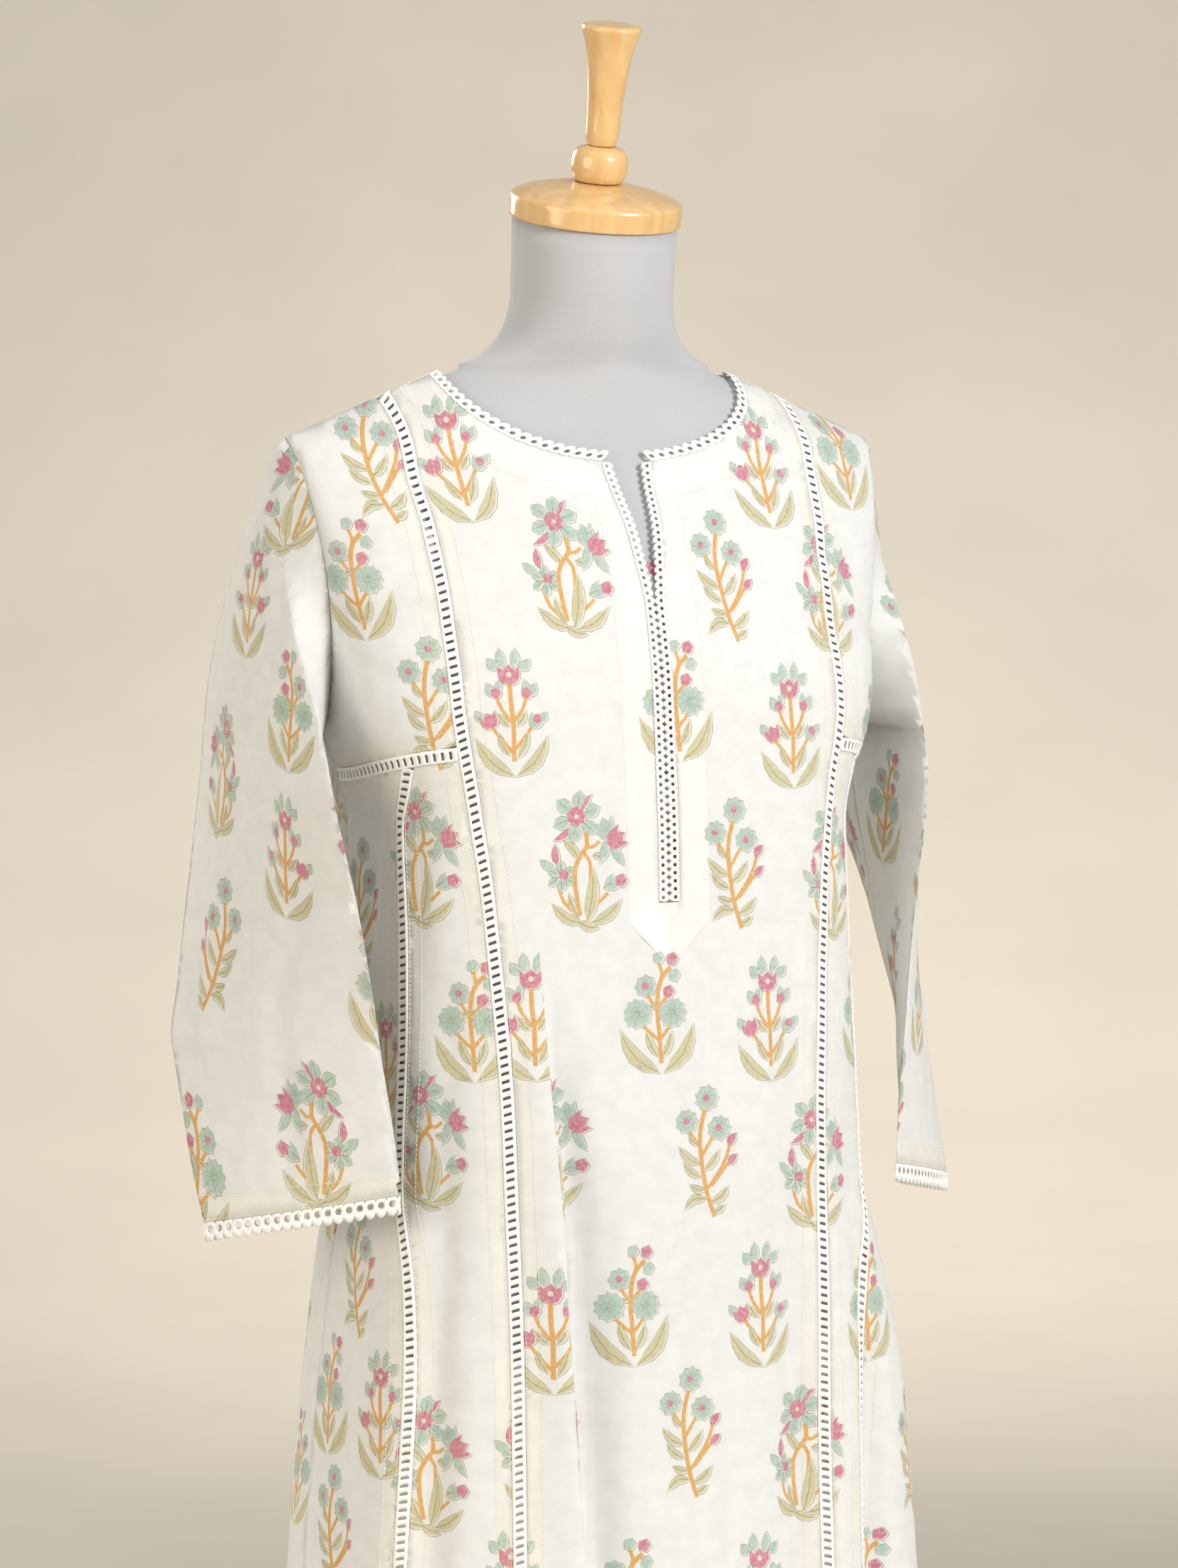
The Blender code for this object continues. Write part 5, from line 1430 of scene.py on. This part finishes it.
def makeLace(name, node, strips, place):
    # strips: inner rail, outer rail, pitch, rows of holes, half sizes and middle of a hole
    points, faces = [], []
    steps = lace["steps"]
    for inner, outer, pitch, rows, (wide, deep, middle) in strips:
        middles = 0.5 * (inner + outer)
        run = np.concatenate(([0.0], np.cumsum(np.linalg.norm(np.diff(middles, axis=0), axis=1))))
        cells = max(1, int(round(run[-1] / pitch)))
        turn = np.linspace(0, 2 * np.pi, steps, endpoint=False)
        cosines, sines = np.cos(turn), np.sin(turn)
        for i in range(cells):
            for row in range(rows):
                low, high = row / rows, (row + 1) / rows
                # hole, then a square cell whose outer side bulges into a picot
                size = np.maximum(np.abs(cosines), np.abs(sines))
                boxX, boxY = cosines / size, sines / size
                last = row == rows - 1
                bulge = np.where(boxY > 0.999, (1 - boxX ** 2) * 0.62 - 0.42, 0.0) if last else 0.0
                beside = (boxY > 0.2) & (np.abs(boxX) > 0.999) & (boxY <= 0.999)
                corner = np.where(beside, -0.42 * (boxY - 0.2) / 0.8, 0.0)
                rings = ((cosines * wide, sines * deep + middle, 0.0),
                         (0.5 * (cosines * wide + boxX), 0.5 * (sines * deep + middle + boxY), 1.0),
                         (boxX, boxY + bulge + (corner if last else 0.0), 0.0))
                base = len(points)
                for x, y, dome in rings:
                    s = (i + 0.5 + 0.5 * x) * run[-1] / cells
                    t = low + (high - low) * (0.5 + 0.5 * y)
                    a = np.stack([np.interp(s, run, inner[:, k]) for k in range(3)], axis=1)
                    b = np.stack([np.interp(s, run, outer[:, k]) for k in range(3)], axis=1)
                    spot = a + (b - a) * t[:, None]
                    outward = spot - np.array((place.middle[0], place.middle[1], 0.0))
                    outward[:, 2] = 0.0
                    outward /= np.linalg.norm(outward, axis=1, keepdims=True)
                    points += list(spot + outward * (lace["lift"] + dome * lace["rise"]))
                for ring in range(2):
                    for k in range(steps):
                        j = (k + 1) % steps
                        a = base + ring * steps
                        faces.append((a + k, a + j, a + steps + j, a + steps + k))
    thing = meshThing(name, points, faces, threadMaterial)
    data = bmesh.new()
    data.from_mesh(thing.data)
    bmesh.ops.remove_doubles(data, verts=data.verts, dist=0.00012)
    bmesh.ops.recalc_face_normals(data, faces=data.faces)
    data.to_mesh(thing.data)
    data.free()
    skin = thing.modifiers.new("wall", "SOLIDIFY")
    skin.thickness = lace["wall"]
    skin.offset = 0.0
    pieces[node] = (thing, None)
    return thing


neckLace = {"start": -0.0004, "width": 0.0059, "slitEnd": 0.3262}


def neckRail(offset, side):
    # edge of the neck hole moved into it, from the middle of the back round to the slit's foot
    rise = offset * kurta["shoulderDrop"] / (kurta["shoulderHalf"] - kurta["neckHalf"])
    half = kurta["neckHalf"] - offset
    rail = []
    for face in (-1, 1):
        deep = (kurta["frontNeck"] if face > 0 else kurta["backNeck"]) - offset + rise
        corner = kurta["slitTop"] - offset if face > 0 else 0.0
        bend = math.acos(corner / half)
        shares = np.linspace(1.0, 0.0, 60) if face < 0 else np.linspace(0.0, 1.0, 60)[1:]
        u, v = [], []
        for t in shares:
            drop = -rise + deep * math.sin(bend * t)
            v.append(drop)
            u.append(side * runAtX(drop, face, side, half * math.cos(bend * t)))
        rail += list((frontPlace if face > 0 else backPlace)(u, v))
    return np.array(rail)


def slitRail(offset, side):
    drops = np.array(dropsBetween(kurta["frontNeck"] + 0.0005, neckLace["slitEnd"]))
    u = [side * runAtX(drop, 1, side, max(neckHalf(drop, 1) - offset, 0.0004)) for drop in drops]
    return frontPlace(u, drops)


strips = []
for side in (-1, 1):
    inner, outer = neckRail(neckLace["start"], side), neckRail(neckLace["width"], side)
    strips.append((inner, outer, lace["pitch"], 1, lace["neckHole"]))
    strips.append((slitRail(neckLace["start"], side), slitRail(neckLace["width"], side), 0.0050, 1,
                   lace["neckHole"]))
makeLace("neckPicots", "neck_lace", strips, Place(None, (0.0, 0.02)))


def cuffRails(side):
    table = sleeves[side]
    runs = np.linspace(table["run"][-1, 0] + 0.0003, table["run"][-1, -1] - 0.0003, 160)
    rails = []
    for drop in (sleeve["cuff"] - 0.0006, sleeve["cuff"] + 0.0102):
        rails.append(sleevePoints(side, runs, np.full(len(runs), drop)))
    return rails


for side, label in ((-1, "right"), (1, "left")):
    inner, outer = cuffRails(side)
    rails = [(inner, outer, lace["pitch"], 1, lace["cuffHole"])]
    makeLace("cuffPicots" + label.title(), "cuff_lace_" + label, rails, Place(None, (side * 0.22, 0.0)))
print("laces made")


# limbless form, a little inside the cloth, and its neck
neckRows = (
    (0.006, 0.0870, 0.0550, 0.0520, 0.003, 1.35), (0.013, 0.0720, 0.0545, 0.0500, 0.001, 1.60),
    (0.022, 0.0610, 0.0545, 0.0480, -0.002, 1.85), (0.033, 0.0550, 0.0550, 0.0460, -0.004, 2.00),
    (0.048, 0.0520, 0.0565, 0.0440, -0.006, 2.00),
)
form = {"clear": 0.0042, "waistClear": 0.012, "bottom": 0.610, "topRise": 0.097, "topRadius": 0.0525,
        "topY": -0.013, "tilt": math.radians(12.5), "around": 32}


def formHalf(drop):
    # half width and, for back and front, depth, end and squareness
    row = np.array([drop])
    if drop < 0.0:
        half, front, back, middle, square = (float(readColumn(neckRows, k, -row)[0]) for k in range(1, 6))
        return half, {1: (middle - front, middle, square), -1: (middle + back, middle, square)}
    clear = form["clear"] + (form["waistClear"] - form["clear"]) * float(smoothStep((drop - 0.1) / 0.2))
    clear += 0.010 * float(smoothStep((drop - 0.5) / 0.1))
    half = min(float(halfWidth(row, side)[0]) for side in (-1, 1)) - clear
    if drop <= kurta["shoulderDrop"]:
        half -= clear * 1.6
    elif drop <= kurta["underarmDrop"]:
        half -= 0.004
    depths = {}
    for face in (1, -1):
        deep = float(readColumn(sectionRows, 3 if face > 0 else 4, row)[0]) - clear
        square = float(readColumn(sectionRows, 5 if face > 0 else 6, row)[0])
        depths[face] = (-face * deep, float(edgeDepth(row, face)[0]), square)
    return half, depths


def formRing(drop):
    half, depths = formHalf(drop)
    angle = np.linspace(0.0, 0.5 * np.pi, 121)
    quarters = []
    for face in (-1, 1):
        deep, end, square = depths[face]
        x = half * np.sin(angle) ** (2 / square)
        y = end + (deep - end) * np.cos(angle) ** (2 / square)
        run = np.concatenate(([0.0], np.cumsum(np.hypot(np.diff(x), np.diff(y)))))
        at = np.linspace(0, run[-1], form["around"] + 1)
        quarters.append(np.stack((np.interp(at, run, x), np.interp(at, run, y)), axis=1))
    rear, fore = quarters
    loop = np.concatenate((rear, fore[::-1], fore[1:] * (-1, 1), rear[::-1][:-1] * (-1, 1)))
    return np.column_stack((loop, np.full(len(loop), kurta["neckPoint"] - drop)))


def makeForm():
    low = formRing(-0.048)
    angle = np.arctan2(low[:, 0], -(low[:, 1] - neckRows[-1][4]))
    ahead = -form["topRadius"] * np.cos(angle)
    top = np.stack((form["topRadius"] * np.sin(angle), form["topY"] + ahead * math.cos(form["tilt"]),
                    kurta["neckPoint"] + form["topRise"] + ahead * math.sin(form["tilt"])), axis=1)
    rings = [top, top * 0.66 + low * 0.34, top * 0.33 + low * 0.67]
    drops = [-row[0] for row in neckRows[::-1]]
    drops = list(np.interp(np.linspace(0, 4, 17), range(5), drops)) + [-0.003]
    drops += list(np.arange(0.0, 0.040, 0.004))
    drops += list(np.arange(0.040, form["bottom"], 0.010)) + [form["bottom"]]
    rings += [formRing(drop) for drop in drops]
    count = len(rings[0])
    faces = []
    for i in range(len(rings) - 1):
        for k in range(count):
            j = (k + 1) % count
            faces.append((i * count + k, i * count + j, (i + 1) * count + j, (i + 1) * count + k))
    faces.append(tuple(range(count))[::-1])
    faces.append(tuple((len(rings) - 1) * count + k for k in range(count)))
    thing = meshThing("jerseyForm", np.concatenate(rings), faces, jerseyMaterial)
    data = bmesh.new()
    data.from_mesh(thing.data)
    bmesh.ops.recalc_face_normals(data, faces=data.faces)
    data.to_mesh(thing.data)
    data.free()
    return thing


formThing = makeForm()


def woodMaterial():
    # pale turned wood under clear varnish
    material, nodes, links, shader = newMaterial("turnedWood")
    place = nodes.new("ShaderNodeTexCoord")
    stretch = nodes.new("ShaderNodeMapping")
    stretch.inputs["Scale"].default_value = (60.0, 60.0, 5.0)
    links.new(place.outputs["Object"], stretch.inputs["Vector"])
    grain = nodes.new("ShaderNodeTexNoise")
    grain.inputs["Scale"].default_value = 1.6
    grain.inputs["Detail"].default_value = 6.0
    grain.inputs["Distortion"].default_value = 0.8
    links.new(stretch.outputs["Vector"], grain.inputs["Vector"])
    ramp = nodes.new("ShaderNodeValToRGB")
    ramp.color_ramp.elements[0].position = 0.32
    ramp.color_ramp.elements[0].color = linear(shades["woodDark"])
    ramp.color_ramp.elements[1].position = 0.62
    ramp.color_ramp.elements[1].color = linear(shades["wood"])
    links.new(grain.outputs["Fac"], ramp.inputs["Fac"])
    links.new(ramp.outputs["Color"], shader.inputs["Base Color"])
    shader.inputs["Roughness"].default_value = 0.32
    shader.inputs["Coat Weight"].default_value = 0.8
    shader.inputs["Coat Roughness"].default_value = 0.08
    return material


turnedWood = woodMaterial()


def turnedPiece(name, profile, sides=72):
    # round body turned about the neck's tilted line; the profile is radius and height
    data = bmesh.new()
    verts = [data.verts.new((radius, 0.0, height)) for radius, height in profile]
    edges = [data.edges.new(pair) for pair in zip(verts, verts[1:])]
    bmesh.ops.spin(data, geom=verts + edges, cent=(0, 0, 0), axis=(0, 0, 1), angle=2 * math.pi, steps=sides,
                   use_merge=True)
    bmesh.ops.remove_doubles(data, verts=data.verts, dist=0.000005)
    bmesh.ops.holes_fill(data, edges=data.edges, sides=0)
    bmesh.ops.recalc_face_normals(data, faces=data.faces)
    foot = Vector((0.0, form["topY"], kurta["neckPoint"] + form["topRise"]))
    bmesh.ops.transform(data, matrix=Matrix.Translation(foot) @ Matrix.Rotation(form["tilt"], 4, "X"),
                        verts=data.verts)
    for face in data.faces:
        face.smooth = len(face.verts) <= 4
    mesh = bpy.data.meshes.new(name)
    data.to_mesh(mesh)
    data.free()
    mesh.materials.append(turnedWood)
    thing = bpy.data.objects.new(name, mesh)
    bpy.context.scene.collection.objects.link(thing)
    return thing


def smoothProfile(rows, steps=5):
    # the rows joined by one smooth line
    rows = np.array(rows)
    run = np.concatenate(([0.0], np.cumsum(np.linalg.norm(np.diff(rows, axis=0), axis=1))))
    at = np.unique(np.concatenate([np.linspace(a, b, steps + 1) for a, b in zip(run, run[1:])]))
    tables = [[(r, v) for r, v in zip(run, rows[:, k])] for k in (0, 1)]
    return [tuple(float(readColumn(table, 1, np.array([place]))[0]) for table in tables) for place in at]


# radius of each turned part and height above the neck's top
capProfile = [(0.0535, 0.0004), (0.0548, 0.0012), (0.0550, 0.0030), (0.0550, 0.0120), (0.0545, 0.0140),
              (0.0525, 0.0155), (0.0460, 0.0185), (0.0340, 0.0215), (0.0200, 0.0240), (0.0110, 0.0250)]
ballProfile = [(0.0150, 0.0254), (0.0172, 0.0293), (0.0182, 0.0353), (0.0176, 0.0413), (0.0145, 0.0458),
               (0.0095, 0.0478)]
handleProfile = [(0.0090, 0.0481), (0.0106, 0.0541), (0.0111, 0.0681), (0.0125, 0.0881), (0.0152, 0.1081),
                 (0.0180, 0.1181), (0.0190, 0.1216), (0.0180, 0.1236), (0.0110, 0.1251)]
woods = (("woodCap", "neck_cap", capProfile), ("woodBall", "finial_ball", ballProfile),
         ("woodHandle", "finial_handle", handleProfile))
for name, node, profile in woods:
    thing = turnedPiece(name, smoothProfile(profile))
    pieces[node] = (thing, None)
print("form and finial made")


# every new piece rides the one body and stands for its solid
slots = {"sleeve": "printed_cambric", "front": "printed_cambric", "back": "printed_cambric",
         "princess": "ladder_tape", "side": "ladder_tape", "cross": "ladder_tape", "neck_lace": "picot_lace",
         "cuff": "picot_lace", "neck_cap": "turned_wood", "finial": "turned_wood"}


def slotOf(node):
    for start, slot in slots.items():
        if node.startswith(start):
            return slot
    return "printed_cambric"


for node, (thing, outline) in pieces.items():
    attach(thing, "root")
    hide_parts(node)
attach(formThing, "root")
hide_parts("form_torso")
stitches = bpy.data.objects["topstitching"]
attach(stitches, "root")
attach(underlayPiece, "root")

goesWith = {
    "front_centre": ["princess_strip_right", "princess_strip_left", "neck_lace"],
    "front_mid_right": ["side_strip_right", "cross_strip_right"],
    "front_mid_left": ["side_strip_left", "cross_strip_left"],
    "sleeve_right": ["cuff_lace_right"],
    "sleeve_left": ["cuff_lace_left"],
}
for node, (thing, outline) in pieces.items():
    if slotOf(node) != "printed_cambric":
        continue
    company = [pieces[name][0] for name in goesWith.get(node, [])]
    if node == "front_centre":
        company += [stitches, underlayPiece]

# what stays of the solids takes its finish here
nodes = frame["nodes"]
facingMaterial = plainMaterial("facingCloth", shades["double"], 0.85, 300.0)
steelMaterial = plainMaterial("steelPaint", shades["steel"], 0.35, 40.0, 0.0, 0.0, 0.5)
standMaterial = plainMaterial("standPaint", shades["stand"], 0.45, 30.0, 0.0, 0.0, 0.5)
for node, material in (("neck_facing", facingMaterial), ("pole", steelMaterial), ("base", standMaterial)):
    for spot in nodes[node].material_slots:
        spot.material = material

room = {"floorSize": 30.0, "wallBack": 9.0, "wallHeight": 8.0, "round": 5.0}


def makeRoom():
    # floor that turns up into a plain wall behind, square to the camera
    turn = math.radians(shot["azimuth"])
    away = np.array((math.sin(turn), -math.cos(turn)))
    across = np.array((math.cos(turn), math.sin(turn)))
    profile = [(-room["floorSize"] / 2, 0.0), (room["wallBack"] - room["round"], 0.0)]
    for i in range(1, 25):
        a = 0.5 * math.pi * i / 24
        profile.append((room["wallBack"] - room["round"] + room["round"] * math.sin(a),
                        room["round"] * (1 - math.cos(a))))
    profile.append((room["wallBack"], room["wallHeight"]))
    data = bmesh.new()
    places = [[Vector((*(-away * far + across * side * room["floorSize"] / 2), height)) for side in (-1, 1)]
              for far, height in profile]
    edge = data.edges.new([data.verts.new(place) for place in places[0]])
    for place, before in zip(places[1:], places):
        grown = bmesh.ops.extrude_edge_only(data, edges=[edge])["geom"]
        verts = [part for part in grown if isinstance(part, bmesh.types.BMVert)]
        edge = [part for part in grown if isinstance(part, bmesh.types.BMEdge)][0]
        bmesh.ops.translate(data, verts=verts, vec=place[0] - before[0])
    for face in data.faces:
        face.smooth = True
    mesh = bpy.data.meshes.new("room")
    data.to_mesh(mesh)
    data.free()
    mesh.materials.append(plainMaterial("backdrop", shades["floor"], 0.95, 2.0))
    thing = bpy.data.objects.new("room", mesh)
    bpy.context.scene.collection.objects.link(thing)


makeRoom()

# soft high key from the wearer's left front, with a weaker fill opposite
lamps = {
    "key": {"side": 2.4, "ahead": 2.3, "height": 2.4, "size": 1.2, "power": 106.0, "shade": (255, 255, 255)},
    "fill": {"side": -2.6, "ahead": 2.2, "height": 1.7, "size": 2.4, "power": 54.0, "shade": (255, 246, 230)},
    "top": {"side": 0.2, "ahead": 0.6, "height": 3.3, "size": 2.0, "power": 9.0, "shade": (255, 252, 246)},
    "rear": {"side": -1.9, "ahead": -2.4, "height": 2.4, "size": 1.8, "power": 34.0,
             "shade": (255, 250, 242)},
    "wall": {"side": 0.3, "ahead": -3.8, "height": 3.0, "size": 3.0, "power": 126.0,
             "shade": (255, 250, 242)},
}
sky = {"shade": (237, 237, 237), "strength": 0.52}


def makeLights():
    turn = math.radians(shot["azimuth"])
    away = Vector((math.sin(turn), -math.cos(turn), 0.0))
    across = Vector((math.cos(turn), math.sin(turn), 0.0))
    for name, plan in lamps.items():
        lamp = bpy.data.lights.new(name, "AREA")
        lamp.shape = "DISK"
        lamp.size = plan["size"]
        lamp.energy = plan["power"]
        lamp.color = linear(plan["shade"])[:3]
        thing = bpy.data.objects.new(name, lamp)
        bpy.context.scene.collection.objects.link(thing)
        thing.location = away * plan["ahead"] + across * plan["side"] + Vector((0, 0, plan["height"]))
        target = Vector((0, 0, 1.0)) if name != "wall" else away * -room["wallBack"] + Vector((0, 0, 1.0))
        thing.rotation_euler = (target - thing.location).to_track_quat("-Z", "Y").to_euler()
    world = bpy.data.worlds.new("sky")
    world.use_nodes = True
    back = world.node_tree.nodes["Background"]
    back.inputs["Color"].default_value = linear(sky["shade"])
    back.inputs["Strength"].default_value = sky["strength"]
    bpy.context.scene.world = world


makeLights()
bpy.context.scene.view_settings.view_transform = "Standard"
print("room and lights made")
